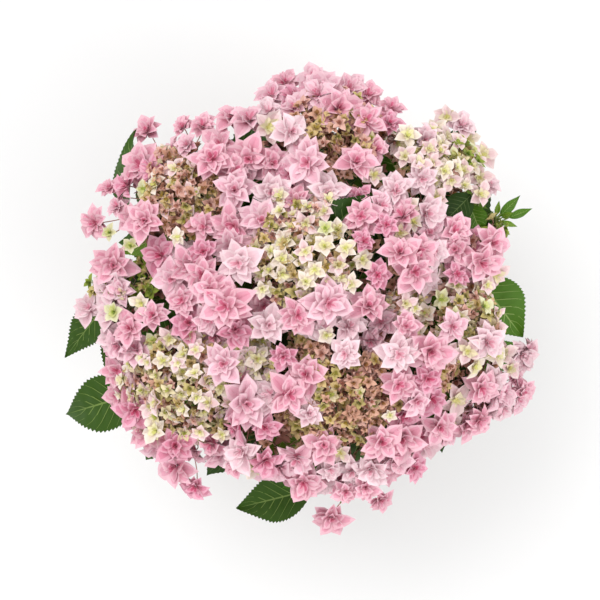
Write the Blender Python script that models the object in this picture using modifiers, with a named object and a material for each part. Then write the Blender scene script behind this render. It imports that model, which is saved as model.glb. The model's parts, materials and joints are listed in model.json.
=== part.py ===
"""Double-flowered hydrangea shrub in a plain terracotta pot.

Five woody canes rise from a short stool in the pot and end in knuckles. Each knuckle carries three green
shoots with opposite leaves, and each shoot ends in a flower head of star-shaped double florets. Every shoot
and head keeps to its own wedge of the crown, whose dividing planes all pass through the growth centre.
Metres, +Z up, origin at the middle of the pot's underside.
"""
import math
import random

import bmesh
import bpy
from mathutils import Matrix, Vector
from mathutils.bvhtree import BVHTree

MM = 0.001
SEAT_GAP = 0.3 * MM             # air left where one piece rests on another
WEDGE_GAP = 0.4 * MM            # air left each side of a dividing plane
LIMB_GAP = 1.0 * MM             # least air between a leaf or floret and a limb of another piece
SEED = 71
WELD = 0.01 * MM
UP = Vector((0, 0, 1))

# pot and compost
POT_HEIGHT = 0.180
POT_FOOT_RADIUS = 0.068
POT_BODY_RADIUS = 0.090         # outside, just under the rim band
POT_RIM_RADIUS = 0.100
POT_RIM_HEIGHT = 0.032
POT_WALL = 0.007
POT_FLOOR = 0.010
POT_LIP_ROUND = 0.003
POT_STEP = 0.002                # how far the rim band and the wall draw in or out at their edges
POT_FOOT_BEVEL = 0.003
POT_FACETS = 30
DRAIN_HOLES = 3
DRAIN_RADIUS = 0.006
DRAIN_CIRCLE = 0.038
DRAIN_BEARING = 45
COMPOST_TOP = 0.152
COMPOST_FLAT_RADIUS = 0.034     # level middle that the stool stands on
COMPOST_DIP = 0.004             # how much lower it lies at the wall

# stool and canes
STOOL_FLARE = 0.028
STOOL_WAIST = 0.022
STOOL_HEAD = 0.023
STOOL_HEAD_HEIGHT = 0.022       # middle of the rounded head above the compost
STOOL_FACETS = 15
STOOL_FLARE_HEIGHT = 0.006
CANE_FOOT_RADIUS = 0.0048
CANE_NECK_RADIUS = 0.0038
CANE_REACH = 0.36               # knuckle's place between the stool and its heads
CANE_POINTS = 5
KNUCKLE_RADIUS = 0.0088
KNUCKLE_RINGS = (-0.88, -0.4, 0.2, 0.7, 0.95)              # along its axis, in radii
LIMB_SWEEP = 0.45               # how long a limb keeps the direction that it starts in

# shoots, leaves and flower heads
SHOOT_FOOT_RADIUS = 0.0021
SHOOT_TIP_RADIUS = 0.0017
SHOOT_SPREAD = 0.55             # how far shoots splay where they leave a knuckle
SHOOT_POINTS = 4
SHOOT_NECK = 0.006              # straight end, in line with the flower head's stalk
NECK_SIDES = 5
LEAF_NODES = (0.08, 0.30, 0.52, 0.74, 0.94)
LEAF_LENGTHS = (0.090, 0.105, 0.105, 0.095, 0.075)
LEAF_SHAPE = ((0.74, 0.27), (0.40, 0.50), (0.12, 0.31))    # share of length, share of width
LEAF_WIDTH = 0.62               # share of the leaf's length
LEAF_THICKNESS = 0.014          # share of the leaf's length
LEAF_HEART = 0.42               # share of the length where a leaf is thickest
LEAF_FOLD = 0.16
LEAF_DROOP = 0.16
LEAF_SWINGS = tuple((swing, rise) for rise in (0.35, 0.8, 0.0) for swing in (0, 0.35, -0.35, 0.7, -0.7))
LEAF_SIZES = (1.0, 0.85, 0.7, 0.56, 0.46, 0.38)
TEST_GROWTH = 1.02              # how much larger the copy is that a leaf is tested with
LEAF_LEAN = 0.6                 # how far a leaf's upper face turns towards the shoot's tip
LEAF_STEEPEST = 0.92            # past this a leaf stands in line with its own upper face
REACHING_ROOTS = (0.8, 0.6, 0.4)                           # places tried along the shoot
REACHING_LENGTHS = (0.110, 0.095, 0.080)
REACHING_WIDTHS = (0.62, 0.465)
REACHING_SHIFTS = (0, 3, -3, 6, -6)                        # degrees
STALK_LENGTH = 0.020
STALK_RADIUS = 0.0011
STALK_TAPER = 0.7
TWIG_SIDES = 3
HEAD_DEPTH = 0.74               # share of its spread that a head rises above its fork
HEAD_TILT = 0.80                # 1 leans the heads fully outwards, 0 keeps them upright
PEDUNCLE_LENGTH = 0.022
STALK_IN_HEAD = 0.22            # share of the spread that the stalk goes on above its fork
STALK_HEAD_TAPER = 0.8
STALK_END = 0.003               # what the stalk runs on past its last ray
RAY_START = 0.010               # how far below the fork the outermost ray leaves the stalk
RAY_RADIUS = 0.0011
RAY_TIP_RADIUS = 0.0008
FLORET_SIZES = {"big": 0.0262, "small": 0.0195, "bud": 0.0155}          # radius
FLORET_PETALS = {"big": 5, "small": 5, "bud": 4}
FLORET_VARIES = 0.08            # share by which florets differ in size
FLORET_CREST = 0.10             # heights of the eye over and under the rim, in radii
FLORET_BASE = 0.22
RAY_SINK = 0.06                 # how deep a ray ends in its floret, in radii
FLORET_NOTCH = 0.50             # share of the petal's length where two petals part
FLORET_CUP = 0.12               # how much of its radius a petal's tip rises
FLORET_TILT = 0.18
FLORET_SCATTER = 0.04           # share of their height by which florets stand proud or back
FLORET_TRIES = 60
PETAL_LEAST = 0.42              # share of its length that a petal keeps at a dividing plane
PLANE_MARGIN = 1.2              # air that a shortened petal keeps, in wedge gaps

# crown: the rounded surface that the florets' middles lie on
CROWN_TOP = 0.440
CROWN_RADIUS = 0.236
CROWN_WAIST = 0.275             # height where it is widest
CROWN_PLAN_POWER = 2.2          # 2 makes an ellipsoid, more makes fuller shoulders
HEAD_BULGE = 0.080              # share by which each head's middle stands above the dividing lines
HEAD_ROUNDNESS = 1.4            # how far florets turn away from their head's middle
BUD_DIP = 0.04                  # share by which the bud domes lie below the open florets
FLORET_FLOOR = 0.290            # lowest florets
CROWN_HALVINGS = 22             # steps of the search for the surface
CROWN_EDGE = 0.99               # the outermost head's share of the crown's radius
OPEN_REACH = 1.5                # how far open florets may lie from their head's middle, in spreads
BULGE_REACH = 1.2
SMALL_REACH = 0.5

# cane bearing in degrees, lean in degrees from upright
CANES = ((160, 36), (68, 34), (10, 36), (-46, 38), (-110, 34))

# name, bearing, plan radius, spread, bud dome's share of the spread, big florets, small florets, bud tufts,
# tone, cane
HEADS = (
    ("a", 140, 0.168, 0.066, 0.58, 8, 0, 5, "pink", 0),
    ("g", 183, 0.194, 0.052, 0.30, 7, 2, 1, "pink", 0),
    ("e", 172, 0.081, 0.046, 0.00, 8, 0, 0, "pink", 0),
    ("b", 80, 0.176, 0.074, 0.40, 11, 0, 3, "pink", 1),
    ("c", 46, 0.205, 0.062, 0.50, 7, 5, 0, "cream", 1),
    ("d", 92, 0.048, 0.066, 0.72, 7, 5, 2, "cream", 1),
    ("k", 33, 0.107, 0.047, 0.00, 8, 0, 0, "pink", 2),
    ("l", 14, 0.196, 0.047, 0.00, 8, 0, 0, "pink", 2),
    ("m", -11, 0.178, 0.054, 0.45, 6, 4, 0, "cream", 2),
    ("n", -29, 0.222, 0.052, 0.00, 9, 0, 0, "pink", 3),
    ("o", -30, 0.127, 0.048, 0.00, 8, 0, 0, "pink", 3),
    ("p", -67, 0.200, 0.060, 0.00, 10, 0, 0, "pink", 3),
    ("h", -62, 0.101, 0.062, 0.66, 8, 0, 5, "pink", 4),
    ("i", -105, 0.146, 0.052, 0.00, 9, 0, 0, "pink", 4),
    ("f", -146, 0.160, 0.074, 0.66, 9, 3, 3, "cream", 4),
)

# leaves that stand out of the crown: head, bearing, plan radius and height of the tip
REACHING_LEAVES = (
    ("g", 192, 0.256, 0.262),
    ("f", 207, 0.270, 0.265),
    ("f", 226, 0.236, 0.262),
    ("a", 137, 0.252, 0.268),
    ("i", 254, 0.238, 0.270),
    ("l", -5, 0.240, 0.262),
    ("l", 20, 0.252, 0.255),
    ("c", 44, 0.256, 0.262),
    ("n", -46, 0.216, 0.250),
    ("p", -62, 0.210, 0.250),
)

TONES = {
    "pink": (0.86, 0.42, 0.58),
    "cream": (0.86, 0.80, 0.58),
}


# ---- small helpers

def polar(bearing, radius, height=0.0):
    angle = math.radians(bearing)
    return Vector((radius * math.cos(angle), radius * math.sin(angle), height))


def material(name, colour, roughness):
    made = bpy.data.materials.new(name)
    made.use_nodes = True
    shader = made.node_tree.nodes["Principled BSDF"]
    shader.inputs["Base Color"].default_value = (*colour, 1.0)
    shader.inputs["Roughness"].default_value = roughness
    shader.inputs["Metallic"].default_value = 0.0
    return made


def new_object(name, mesh, collection, finish=None):
    made = bpy.data.objects.new(name, mesh)
    collection.objects.link(made)
    if finish:
        mesh.materials.append(finish)
    return made


def mesh_from(name, bm):
    bmesh.ops.recalc_face_normals(bm, faces=bm.faces)
    mesh = bpy.data.meshes.new(name)
    bm.to_mesh(mesh)
    bm.free()
    return mesh


def frame_along(axis, up):
    """Rotation whose X runs along axis and whose Z is as near to up as it can be."""
    x = axis.normalized()
    y = up.cross(x).normalized()
    z = x.cross(y)
    return Matrix((x, y, z)).transposed()


def side_of(axis):
    """Any unit vector square to axis."""
    helper = UP if abs(axis.z) < 0.9 else Vector((1, 0, 0))
    return axis.cross(helper).normalized()


def bend(start, start_direction, end, count):
    """Points of a quadratic curve that leaves start along start_direction and reaches end."""
    reach = (end - start).length
    control = start + start_direction * reach * LIMB_SWEEP
    points = []
    for step in range(count):
        t = step / (count - 1)
        points.append(start * (1 - t) ** 2 + control * 2 * t * (1 - t) + end * t ** 2)
    return points


def along(points, share):
    """Place and direction at a share of the polyline's steps."""
    place = share * (len(points) - 1)
    index = min(int(place), len(points) - 2)
    step = points[index + 1] - points[index]
    return points[index] + step * (place - index), step.normalized()


# ---- limbs: curves with a bevel, turned into meshes

def limb_mesh(name, points, radii, bevel_resolution):
    data = bpy.data.curves.new(name, "CURVE")
    data.dimensions = "3D"
    data.bevel_depth = 1.0
    data.bevel_resolution = bevel_resolution
    data.use_fill_caps = True
    spline = data.splines.new("POLY")
    spline.points.add(len(points) - 1)
    for index, (point, radius) in enumerate(zip(points, radii)):
        spline.points[index].co = (*point, 1.0)
        spline.points[index].radius = radius
    curve = bpy.data.objects.new(name, data)
    bpy.context.scene.collection.objects.link(curve)
    graph = bpy.context.evaluated_depsgraph_get()
    mesh = bpy.data.meshes.new_from_object(curve.evaluated_get(graph))
    bpy.data.objects.remove(curve)
    bpy.data.curves.remove(data)
    bm = bmesh.new()
    bm.from_mesh(mesh)
    bpy.data.meshes.remove(mesh)
    bmesh.ops.remove_doubles(bm, verts=bm.verts, dist=WELD)
    return mesh_from(name, bm)


def prism_mesh(name, start, end, start_radius, end_radius, sides):
    """Tapering prism between two points."""
    axis = end - start
    turn = axis.to_track_quat("Z", "Y").to_matrix().to_4x4()
    bm = bmesh.new()
    bmesh.ops.create_cone(
        bm, cap_ends=True, cap_tris=False, segments=sides, radius1=start_radius, radius2=end_radius,
        depth=axis.length, matrix=Matrix.Translation((start + end) / 2) @ turn)
    return mesh_from(name, bm)


# ---- blades: a bipyramid whose rim is drawn out into petals or a leaf

def bipyramid(points_round):
    """Closed double fan; gives the bmesh, its top, its bottom and its rim in order."""
    bm = bmesh.new()
    bmesh.ops.create_cone(
        bm, cap_ends=True, cap_tris=True, segments=points_round, radius1=1, radius2=0, depth=1)
    top = max(bm.verts, key=lambda vert: vert.co.z)
    bottom = min(bm.verts, key=lambda vert: vert.co.xy.length + (vert is top) * 2)
    rim = [vert for vert in bm.verts if vert not in (top, bottom)]
    rim.sort(key=lambda vert: math.atan2(vert.co.y, vert.co.x))
    return bm, top, bottom, rim


def floret_mesh(name, centre, facing, radius, petals, spin, cup, planes=()):
    """Star of pointed petals, thickest at its eye; a petal is shortened where it would cross a plane."""
    bm, top, bottom, rim = bipyramid(2 * petals)
    for index, vert in enumerate(rim):
        tip = index % 2 == 0
        reach = radius * (1.0 if tip else FLORET_NOTCH)
        angle = spin + math.pi * index / petals
        height = radius * (cup if tip else 0.5 * cup)
        vert.co = (reach * math.cos(angle), reach * math.sin(angle), height)
    top.co = (0, 0, FLORET_CREST * radius)
    bottom.co = (0, 0, -FLORET_BASE * radius)
    turn = facing.to_track_quat("Z", "Y").to_matrix().to_4x4()
    bmesh.ops.transform(bm, matrix=Matrix.Translation(centre) @ turn, verts=bm.verts)
    for vert in rim:
        for normal in planes:
            room = -normal.dot(centre - growth_centre()) - PLANE_MARGIN * WEDGE_GAP
            over = normal.dot(vert.co - centre)
            if over > room:
                vert.co = centre + (vert.co - centre) * (room / over)
    return mesh_from(name, bm)


def leaf_mesh(name, base, direction, up, length, width_share=LEAF_WIDTH, thickness=None, grow=1.0):
    """Ovate blade folded along its midrib, with a drooping tip."""
    bm, top, bottom, rim = bipyramid(2 * len(LEAF_SHAPE) + 2)
    width = length * width_share
    thick = thickness or length * LEAF_THICKNESS
    outline = [(0, 0), *((x, -y) for x, y in reversed(LEAF_SHAPE)), (1, 0), *LEAF_SHAPE]

    def blade_height(x, y):
        return length * (LEAF_FOLD * abs(y) - LEAF_DROOP * x * x)

    for vert, (x, y) in zip(rim, outline):
        x = 0.5 + (x - 0.5) * grow
        y = y * grow
        vert.co = (x * length, y * width, blade_height(x, y))
    middle = blade_height(LEAF_HEART, 0)
    top.co = (LEAF_HEART * length, 0, middle + thick / 2)
    bottom.co = (LEAF_HEART * length, 0, middle - thick / 2)
    place = Matrix.Translation(base) @ frame_along(direction, up).to_4x4()
    bmesh.ops.transform(bm, matrix=place, verts=bm.verts)
    return mesh_from(name, bm)


def tree_of(mesh):
    mesh.calc_loop_triangles()
    corners = [vert.co.copy() for vert in mesh.vertices]
    faces = [tuple(face.vertices) for face in mesh.loop_triangles]
    return BVHTree.FromPolygons(corners, faces)


# ---- fusing a mass into one body

def keep_largest_shell(mesh):
    """Drops loose scraps and fills sealed hollows, which are shells of their own."""
    bm = bmesh.new()
    bm.from_mesh(mesh)
    bmesh.ops.triangulate(bm, faces=bm.faces)
    left = set(bm.verts)
    shells = []
    while left:
        shell = set()
        edge = [left.pop()]
        while edge:
            vert = edge.pop()
            shell.add(vert)
            for link in vert.link_edges:
                other = link.other_vert(vert)
                if other in left:
                    left.remove(other)
                    edge.append(other)
        shells.append(shell)
    shells.sort(key=len)
    spare = [vert for shell in shells[:-1] for vert in shell]
    bmesh.ops.delete(bm, geom=spare, context="VERTS")
    bm.to_mesh(mesh)
    bm.free()
    return len(shells) - 1


def fuse(name, core, pieces, collection, finish):
    """One Boolean union of a core mesh and its pieces."""
    if not pieces:
        return new_object(name, core, collection, finish)
    bench = bpy.data.collections.new(name + "_pieces")
    for index, piece in enumerate(pieces):
        new_object(f"{name}_{index}", piece, bench)
    body = new_object(name, core, collection, finish)
    union = body.modifiers.new("union", "BOOLEAN")
    union.operation = "UNION"
    union.operand_type = "COLLECTION"
    union.collection = bench
    union.solver = "MANIFOLD"
    graph = bpy.context.evaluated_depsgraph_get()
    fused = bpy.data.meshes.new_from_object(body.evaluated_get(graph))
    body.modifiers.remove(union)
    dropped = keep_largest_shell(fused)
    fused.name = name
    fused.materials.clear()
    fused.materials.append(finish)
    body.data = fused
    bpy.data.meshes.remove(core)
    for piece in list(bench.objects):
        used = piece.data
        bpy.data.objects.remove(piece)
        bpy.data.meshes.remove(used)
    bpy.data.collections.remove(bench)
    print(f"{name}: {len(pieces)} pieces, {len(fused.polygons)} triangles, {dropped} scraps dropped")
    return body


# ---- pot, compost and stool: turned profiles

def turned(name, profile, facets, collection, finish):
    """Closed turned shape; the profile runs from the axis over the outer side, top to bottom, to the axis."""
    mesh = bpy.data.meshes.new(name)
    mesh.from_pydata([(r, 0, z) for r, z in profile], [(i, i + 1) for i in range(len(profile) - 1)], [])
    body = new_object(name, mesh, collection, finish)
    screw = body.modifiers.new("turn", "SCREW")
    screw.steps = facets
    screw.render_steps = facets
    screw.use_merge_vertices = True
    screw.merge_threshold = 0.00002
    screw.use_smooth_shade = False
    return body


def pot_inner_radius(height):
    share = (height - POT_FLOOR) / (POT_HEIGHT - POT_FLOOR)
    low = POT_FOOT_RADIUS - POT_WALL
    high = POT_BODY_RADIUS + POT_STEP - POT_WALL
    return low + (high - low) * share


def make_pot(collection, cutters, finish):
    band_foot = POT_HEIGHT - POT_RIM_HEIGHT
    lip = POT_LIP_ROUND
    profile = (
        (0, POT_FLOOR),
        (pot_inner_radius(POT_FLOOR), POT_FLOOR),
        (pot_inner_radius(POT_HEIGHT - lip), POT_HEIGHT - lip),
        (pot_inner_radius(POT_HEIGHT) + lip, POT_HEIGHT),
        (POT_RIM_RADIUS - lip, POT_HEIGHT),
        (POT_RIM_RADIUS, POT_HEIGHT - lip),
        (POT_RIM_RADIUS - POT_STEP, band_foot + lip),
        (POT_RIM_RADIUS - 2 * POT_STEP, band_foot),
        (POT_BODY_RADIUS, band_foot - POT_STEP),
        (POT_FOOT_RADIUS + POT_FOOT_BEVEL / 2, POT_FOOT_BEVEL),
        (POT_FOOT_RADIUS - POT_FOOT_BEVEL / 2, 0),
        (0, 0),
    )
    pot = turned("pot", profile, POT_FACETS, collection, finish)
    for index in range(DRAIN_HOLES):
        bm = bmesh.new()
        bmesh.ops.create_cone(
            bm, cap_ends=True, segments=8, radius1=DRAIN_RADIUS, radius2=DRAIN_RADIUS, depth=4 * POT_FLOOR)
        cutter = new_object(f"drain_{index}", mesh_from(f"drain_{index}", bm), cutters)
        cutter.location = polar(DRAIN_BEARING + 360 * index / DRAIN_HOLES, DRAIN_CIRCLE)
        cutter.hide_render = True
        cutter.display_type = "WIRE"
        cut = pot.modifiers.new(f"drain_{index}", "BOOLEAN")
        cut.operation = "DIFFERENCE"
        cut.object = cutter
    return pot


def make_compost(collection, finish):
    edge_height = COMPOST_TOP - COMPOST_DIP
    foot_height = POT_FLOOR + SEAT_GAP
    profile = (
        (0, COMPOST_TOP),
        (COMPOST_FLAT_RADIUS, COMPOST_TOP),
        (pot_inner_radius(edge_height) - SEAT_GAP, edge_height),
        (pot_inner_radius(foot_height) - SEAT_GAP, foot_height),
        (0, foot_height),
    )
    return turned("compost", profile, POT_FACETS, collection, finish)


def stool_centre():
    return Vector((0, 0, COMPOST_TOP + STOOL_HEAD_HEIGHT))


def make_stool(collection, finish):
    foot = COMPOST_TOP + SEAT_GAP
    middle = stool_centre().z
    profile = []
    for degrees in (90, 60, 30, 0, -30):
        angle = math.radians(degrees)
        profile.append((STOOL_HEAD * math.cos(angle) * (degrees < 90), middle + STOOL_HEAD * math.sin(angle)))
    profile.append((STOOL_WAIST, foot + STOOL_FLARE_HEIGHT))
    profile.append((STOOL_FLARE, foot))
    profile.append((0, foot))
    return turned("stool", profile, STOOL_FACETS, collection, finish)


# ---- the crown's plan

class Head:
    """One flower head with its shoot: where it stands, how wide it is and what it carries."""

    def __init__(self, row):
        name, bearing, radius, spread, dome, big, small, buds, tone, cane = row
        self.name = name
        self.spread = spread
        self.dome = dome
        self.big = big
        self.small = small
        self.buds = buds
        self.tone = tone
        self.cane = cane
        rise = math.sqrt(1 - min(radius / CROWN_RADIUS, CROWN_EDGE) ** CROWN_PLAN_POWER)
        self.top = polar(bearing, radius, CROWN_WAIST + (CROWN_TOP - CROWN_WAIST) * rise)
        self.direction = (self.top - growth_centre()).normalized()
        self.width = spread / (self.top - growth_centre()).length
        self.axis = (self.direction * HEAD_TILT + UP * (1 - HEAD_TILT)).normalized()
        self.fork = self.top - self.axis * spread * HEAD_DEPTH
        self.foot = self.fork - self.axis * PEDUNCLE_LENGTH
        self.planes = []
        self.random = random.Random(f"{SEED}-{name}")


def growth_centre():
    return Vector((0, 0, COMPOST_TOP + 0.010))


def divide_crown(heads):
    """Gives each head the planes between it and every other head, all through the growth centre."""
    for head in heads:
        for other in heads:
            if other is head:
                continue
            share = head.spread / (head.spread + other.spread)
            edge = head.direction.slerp(other.direction, share)
            normal = (other.direction - edge * other.direction.dot(edge)).normalized()
            head.planes.append(normal)


def stands_inside(head, mesh):
    centre = growth_centre()
    for normal in head.planes:
        for vert in mesh.vertices:
            if normal.dot(vert.co - centre) > -WEDGE_GAP:
                return False
    return True


def room_at(head, point):
    """Distance from a point to the nearest dividing plane of its wedge."""
    centre = growth_centre()
    return min(-normal.dot(point - centre) for normal in head.planes)


def make_canes(heads, collection, finish):
    """Canes with knuckles; gives the knuckles' centres and each cane's guard tree."""
    knuckles = []
    guards = []
    for index, (bearing, lean) in enumerate(CANES):
        group = [head for head in heads if head.cane == index]
        middle = sum((head.fork for head in group), Vector()) / len(group)
        start_direction = polar(bearing, math.sin(math.radians(lean)), math.cos(math.radians(lean)))
        start = stool_centre() + start_direction * (STOOL_HEAD + SEAT_GAP)
        knuckle = stool_centre() + (middle - stool_centre()) * CANE_REACH
        points = bend(start, start_direction, knuckle, CANE_POINTS)
        end_direction = (points[-1] - points[-2]).normalized()
        points = points[:-1]
        radii = [
            CANE_FOOT_RADIUS + (CANE_NECK_RADIUS - CANE_FOOT_RADIUS) * step / (CANE_POINTS - 2)
            for step in range(CANE_POINTS - 1)]
        for share in KNUCKLE_RINGS:
            points.append(knuckle + end_direction * share * KNUCKLE_RADIUS)
            radii.append(KNUCKLE_RADIUS * math.sqrt(1 - share * share))
        mesh = limb_mesh(f"cane_{index + 1}", points, radii, 3)
        new_object(f"cane_{index + 1}", mesh, collection, finish)
        knuckles.append(knuckle)
        guards.append(tree_of(limb_mesh("guard", points, [radius + LIMB_GAP for radius in radii], 1)))
    return knuckles, guards


def plan_shoots(heads, knuckles):
    """Each shoot's points and radii, from 0.3 mm off its knuckle to 0.3 mm short of its head's foot."""
    for head in heads:
        knuckle = knuckles[head.cane]
        group = [other for other in heads if other.cane == head.cane]
        outs = [(other.foot - knuckle).normalized() for other in group]
        middle = sum(outs, Vector()).normalized()
        out = (head.foot - knuckle).normalized()
        start_direction = (out * (1 + SHOOT_SPREAD) - middle * SHOOT_SPREAD).normalized()
        start = knuckle + start_direction * (KNUCKLE_RADIUS + SEAT_GAP)
        neck = head.foot - head.axis * SHOOT_NECK
        head.shoot = bend(start, start_direction, neck, SHOOT_POINTS) + [head.foot]
        head.shoot_radii = [
            SHOOT_FOOT_RADIUS + (SHOOT_TIP_RADIUS - SHOOT_FOOT_RADIUS) * step / SHOOT_POINTS
            for step in range(SHOOT_POINTS + 1)]
        head.guard = tree_of(limb_mesh("guard", head.shoot, [r + LIMB_GAP for r in head.shoot_radii], 0))


# ---- flower heads

def crown_value(point):
    """Below 1 inside the crown's surface, above 1 outside it."""
    plan = point.xy.length / CROWN_RADIUS
    rise = (point.z - CROWN_WAIST) / (CROWN_TOP - CROWN_WAIST)
    return plan ** CROWN_PLAN_POWER + rise * rise


def crown_place(direction):
    """Where a ray from the growth centre meets the crown, and the way the surface faces there."""
    low = 0.0
    high = CROWN_TOP
    centre = growth_centre()
    for _ in range(CROWN_HALVINGS):
        middle = (low + high) / 2
        if crown_value(centre + direction * middle) < 1:
            low = middle
        else:
            high = middle
    point = centre + direction * low
    plan = point.xy.length / CROWN_RADIUS
    rise = (point.z - CROWN_WAIST) / (CROWN_TOP - CROWN_WAIST)
    outward = CROWN_PLAN_POWER * plan ** (CROWN_PLAN_POWER - 1) / CROWN_RADIUS
    upward = 2 * rise / (CROWN_TOP - CROWN_WAIST)
    flat = Vector((point.x, point.y, 0)).normalized()
    return low, (flat * outward + UP * upward).normalized()


def floret_place(head, kind):
    """Random place for a floret on the head's patch of the crown; None where it falls off the patch."""
    inner = head.dome if kind == "big" else 0.0
    outer = OPEN_REACH if kind == "big" else max(head.dome, SMALL_REACH)
    share = math.sqrt(head.random.uniform(inner * inner, outer * outer))
    bearing = head.random.uniform(0, 2 * math.pi)
    side = side_of(head.direction)
    other = head.direction.cross(side)
    flat = side * math.cos(bearing) + other * math.sin(bearing)
    angle = share * head.width
    direction = head.direction * math.cos(angle) + flat * math.sin(angle)
    reach, facing = crown_place(direction)
    bulge = HEAD_BULGE * (1 - min(share, BULGE_REACH) ** 2)
    dip = 0.0 if kind == "big" else BUD_DIP
    lift = head.random.uniform(-FLORET_SCATTER, FLORET_SCATTER)
    place = growth_centre() + direction * reach * (1 + bulge - dip + lift)
    facing = (facing + (direction - head.direction) * HEAD_ROUNDNESS).normalized()
    return (place, facing) if place.z > FLORET_FLOOR else None


def choose_florets(head, taken):
    """Places of a head's florets: each is the roomiest of a number of random ones."""
    chosen = []
    kinds = ["big"] * head.big + ["small"] * head.small + ["bud"] * head.buds
    for kind in kinds:
        radius = FLORET_SIZES[kind] * head.random.uniform(1 - FLORET_VARIES, 1 + FLORET_VARIES)
        best = None
        for _ in range(FLORET_TRIES):
            found = floret_place(head, kind)
            if not found:
                continue
            place, facing = found
            if room_at(head, place) < radius * PETAL_LEAST:
                continue
            room = min(((place - spot).length - size for spot, size in taken), default=1.0) - radius
            if best and room <= best[0]:
                continue
            tilt = Vector([head.random.uniform(-FLORET_TILT, FLORET_TILT) for _ in range(3)])
            facing = (facing + tilt).normalized()
            spin = head.random.uniform(0, math.pi)
            floret = floret_mesh(
                "floret", place, facing, radius, FLORET_PETALS[kind], spin, FLORET_CUP, head.planes)
            if stands_inside(head, floret):
                if best:
                    bpy.data.meshes.remove(best[1])
                best = (room, floret, place, facing, radius)
            else:
                bpy.data.meshes.remove(floret)
        if best:
            chosen.append(best[1:])
            taken.append((best[2], radius))
    return chosen


def make_head(head, taken, collection, finish):
    """Stalk, rays and florets fused into one body; the rays leave the stalk one above another."""
    pieces = []
    florets = choose_florets(head, taken)
    florets.sort(key=lambda floret: -(floret[1] - head.fork).normalized().dot(head.axis))
    stalk_top = head.spread * STALK_IN_HEAD
    for index, (floret, place, facing, radius) in enumerate(florets):
        share = (index + 0.5) / len(florets)
        root = head.fork + head.axis * (stalk_top * (1 - share) - RAY_START * share)
        tip = place - facing * radius * RAY_SINK
        pieces.append(floret)
        pieces.append(prism_mesh("ray", root, tip, RAY_RADIUS, RAY_TIP_RADIUS, TWIG_SIDES))
    foot = head.foot + head.axis * SEAT_GAP
    end = head.fork + head.axis * (stalk_top + STALK_END)
    end_radius = SHOOT_TIP_RADIUS * STALK_HEAD_TAPER
    stalk = prism_mesh("peduncle", foot, end, SHOOT_TIP_RADIUS, end_radius, NECK_SIDES)
    return fuse(f"flower_head_{head.name}", stalk, pieces, collection, finish)


# ---- leafy shoots

def leaf_fits(head, root, base, direction, up, length, width, guards):
    """Tests a slightly grown leaf against the wedge's planes and against the limbs and heads near it."""
    thick = length * LEAF_THICKNESS + 2 * LIMB_GAP
    grown = leaf_mesh("test", base, direction, up, length, width, thick, TEST_GROWTH)
    stalk = prism_mesh("test", root, base, STALK_RADIUS + LIMB_GAP, STALK_RADIUS + LIMB_GAP, TWIG_SIDES)
    fits = stands_inside(head, grown) and stands_inside(head, stalk)
    for mesh in (grown, stalk):
        tree = tree_of(mesh)
        fits = fits and not any(tree.overlap(guard) for guard in guards)
        bpy.data.meshes.remove(mesh)
    return fits


def stalk_and_blade(root, base, direction, up, length, width):
    """Leaf blade with its stalk, which runs a little way into both the shoot and the blade."""
    blade = leaf_mesh("leaf", base, direction, up, length, width)
    inward = 0.7 * LEAF_HEART
    midrib = Vector((inward, 0, -inward * LEAF_HEART * LEAF_DROOP)) * length
    sunk = base + frame_along(direction, up) @ midrib
    stalk = prism_mesh("stalk", root, sunk, STALK_RADIUS, STALK_RADIUS * STALK_TAPER, TWIG_SIDES)
    return [blade, stalk]


def reaching_leaves(head, guards):
    """Leaves whose tips stand out of the crown at their own named places."""
    pieces = []
    tries = [
        (share, length, width, shift) for share in REACHING_ROOTS for width in REACHING_WIDTHS
        for length in REACHING_LENGTHS for shift in REACHING_SHIFTS]
    for name, bearing, radius, height in REACHING_LEAVES:
        if name != head.name:
            continue
        for share, length, width, shift in tries:
            root, _ = along(head.shoot, share)
            tip = polar(bearing + shift, radius, height)
            direction = (tip - root).normalized()
            base = tip - direction * length
            aim = (direction + UP * LEAF_DROOP).normalized()
            if leaf_fits(head, root, base, aim, UP, length, width, guards):
                pieces += stalk_and_blade(root, base, aim, UP, length, width)
                break
        else:
            print("reaching leaf left out:", name, bearing)
    return pieces


def make_shoot(head, guards, collection, finish):
    pieces = reaching_leaves(head, guards)
    placed = [tree_of(piece) for piece in pieces]
    start_turn = head.random.uniform(0, math.pi / 2)
    for index, (share, full_length) in enumerate(zip(LEAF_NODES, LEAF_LENGTHS)):
        root, run = along(head.shoot, share)
        side = side_of(run)
        other = run.cross(side)
        for half in range(2):
            turn = start_turn + index * math.pi / 2 + half * math.pi
            found = None
            for size in LEAF_SIZES:
                for swing, rise in LEAF_SWINGS:
                    flat = side * math.cos(turn + swing) + other * math.sin(turn + swing)
                    direction = (flat + run * rise).normalized()
                    up = (UP + run * LEAF_LEAN).normalized()
                    if abs(direction.dot(up)) > LEAF_STEEPEST:
                        up = run
                    base = root + direction * STALK_LENGTH * size
                    length = full_length * size
                    if leaf_fits(head, root, base, direction, up, length, LEAF_WIDTH, guards + placed):
                        found = (base, direction, up, length)
                        break
                if found:
                    break
            if not found:
                continue
            base, direction, up, length = found
            pair = stalk_and_blade(root, base, direction, up, length, LEAF_WIDTH)
            placed.append(tree_of(pair[0]))
            pieces += pair
    core = limb_mesh("stem", head.shoot, head.shoot_radii, 0)
    return fuse(f"leafy_shoot_{head.name}", core, pieces, collection, finish)


# ---- assembly

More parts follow.
